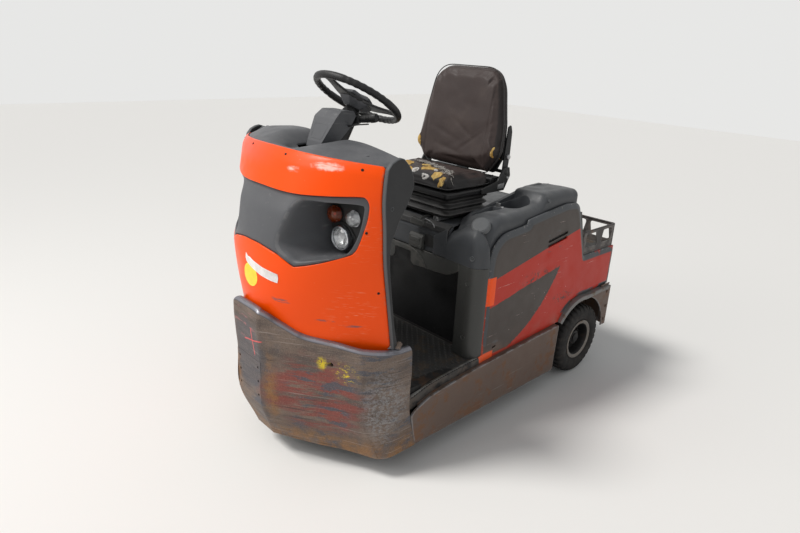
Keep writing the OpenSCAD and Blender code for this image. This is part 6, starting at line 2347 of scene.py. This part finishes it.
def make_hitch():
    jaw = [(-48, 926), (-48, 962)] + arc(0, PIN_Y, 44, 200, -20, 22) + [(48, 962), (48, 926)]
    shell = Shell()
    for z in (300, 380):
        shell.join(prism("z", jaw, z, z + 16, holes=[circle(0, PIN_Y, 13.4, 32)]))
        shell.join(lathe([(13.4, 0), (22, 0), (20, 3), (13.4, 3)], turned(0, PIN_Y, z - 3), 40))
    shell.join(block((-69, 912.4, 281), (69, 927, 419), 3.0, 3))
    shell.join(block((-46, 914, 312), (46, 934, 384), 4.0, 3))
    for x in (-56, 56):
        for z in (296, 404):
            shell.join(lathe([(0, 0), (11, 0), (11, 6), (8, 8.4), (0, 9)], turned(x, 926, z, toward=BACK), 6))
    dress("hitch_jaw", shell, "iron", "tug", "hitch_iron", ["tow_hitch"])
    pin = lathe([(0, 292), (10.5, 292), (13, 297), (13, 396.4), (21, 396.4), (22, 398.6), (21.4, 404),
                 (16, 404.6), (9, 405), (8.6, 426), (9.8, 432), (9, 434), (0, 434)], turned(0, PIN_Y), 40)
    dress("hitch_pin", pin, "zinc", "tow_pin", "pin_steel", ["tow_pin"])


LUGS = 34
LUG_WIDE = 0.052
# Rows of a tread lug from the middle outward: way from the middle, top and foot radius
LUG_ROWS = ((3, 190.7, 183), (18, 190.8, 183), (32, 190.0, 182), (41, 187.2, 178), (47, 182.6, 172),
            (50.8, 176.0, 166), (53.6, 168.0, 160))


def tyre_shell():
    half = [(109, 44.2), (112, 46.6), (116, 49.4), (121, 51.4), (124, 51.6), (127, 53.2), (139, 54.6),
            (150, 54.9), (160, 54.0), (163, 52.2), (166, 52.4), (173, 49.6), (179.5, 44.6), (183.4, 37),
            (184.4, 22), (184.6, 6)]
    inner = [(96, 35), (92, 0), (96, -35)]
    profile = [(r, -h) for r, h in half] + [(r, h) for r, h in half[::-1]] + inner
    body = lathe(profile, None, 96)
    for side in (-1, 1):
        for k in range(LUGS):
            base = math.tau * (k + (0.5 if side > 0 else 0)) / LUGS
            rings = []
            for h, top, low in LUG_ROWS:
                mid = base + 0.0016 * h * side * (1 if h < 34 else 0.9)
                w = (LUG_WIDE if h < 20 else 0.060) - (0.012 if h > 50 else 0)
                corners = ((-w, low), (-w, top - 1.4), (-w + 0.008, top), (w - 0.008, top), (w, top - 1.4),
                           (w, low))
                rings.append([(r * math.cos(mid + da), r * math.sin(mid + da),
                               side * h) for da, r in corners])
            body.join(loft(rings))
    for k in range(LUGS):
        a = math.tau * (k + 0.27) / LUGS
        rings = []
        for h in (-5, 5):
            rings.append([(r * math.cos(a + da), r * math.sin(a + da), h) for da, r in
                          ((-0.035, 183), (-0.03, 190.6), (0.03, 190.6), (0.035, 183))])
        body.join(loft(rings))
    return body


def rim_shells():
    dish = lathe([(18.2, -30), (34, -30), (38, -27), (42, -14), (58, -9), (70, -8), (79, -11), (83, -20),
                  (85, -40), (90, -46), (97, -46.5), (97, -38), (90, 0), (97, 38), (97, 46.5), (90, 46),
                  (85, 40), (83, 26), (79, -2), (70, -5), (58, -4), (42, 2), (38, 22), (34, 25),
                  (18.2, 25)], None, 72)
    for side in (-1, 1):
        cap = [(0, side * 24), (26, side * 24), (26, side * 30), (22, side * 33), (0, side * 33.6)]
        dish.join(lathe(cap, None, 36))
        for k in range(5):
            a = math.tau * k / 5 + 0.3
            z = -5.5 if side > 0 else -20
            at = Matrix.Translation((61 * math.cos(a), 61 * math.sin(a), z))
            dish.join(lathe([(0, 0), (10.5, 0), (10.5, 9), (8.5, 11), (5, 11.6), (5, 17), (0, 17.6)], at, 6))
            b = a + math.tau / 10
            at = Matrix.Translation((66 * math.cos(b), 66 * math.sin(b), -4.8 if side > 0 else -10))
            dish.join(lathe([(5, 0), (11, 0), (11, 2), (9.4, 3), (5, 3)], at, 24))
    ring = Shell()
    for side in (-1, 1):
        ring.join(lathe([(89.5, side * 41), (90.5, side * 46.4), (93, side * 48), (98, side * 48.6),
                         (102, side * 50), (106, side * 51), (108.4, side * 50), (108.6, side * 46.4),
                         (104, side * 45.0), (98, side * 43.6), (93, side * 40)], None, 72))
    return dish, ring


def make_wheels():
    tyre = tyre_shell()
    dish, ring = rim_shells()
    x, y, z = REAR_WHEEL
    for key, body, at, way in (("front", "front_wheel", FRONT_WHEEL, 1), ("left", "rear_wheel_left",
                                                                          (x, y, z), 1),
                               ("right", "rear_wheel_right", (-x, y, z), -1)):
        m = turned(*at, toward=(way, 0, 0))
        dress("tyre_tread_" + key, tyre.moved(m), "tyre", body, "tyre", ["tyre_" + key])
        dress("rim_dish_" + key, dish.moved(m), "rim", body, "rim_steel", ["rim_" + key])
        dress("rim_flange_" + key, ring.moved(m), "rim_edge", body, "rim_steel")


BUILDERS = [make_cowl, make_mask, make_lamps, make_bumper, make_hood, make_portal, make_panels,
            make_seat_pads, make_seat_frame, make_back_shell, make_cheeks, make_dash, make_footwell,
            make_column, make_steering_wheel, make_floor_plate, make_sills, make_deck, make_basket,
            make_rear, make_hitch, make_wheels]
# Solids that stay as they are, with the look of each
LEFT_LOOKS = {"chassis": "frame", "front_deck": "frame", "battery": "black", "bulkhead": "post",
              "rear_axle": "iron", "fork": "iron"}


def dress_solid(obj, look):
    if not obj.material_slots:
        obj.data.materials.append(look)
    for slot in obj.material_slots:
        slot.material = look


make_camera()
make_light()
make_floor()
make_looks()
for build in BUILDERS:
    build()
for node_name, look_name in LEFT_LOOKS.items():
    dress_solid(nodes[node_name], looks[look_name].material)
scene.view_settings.view_transform = "Standard"
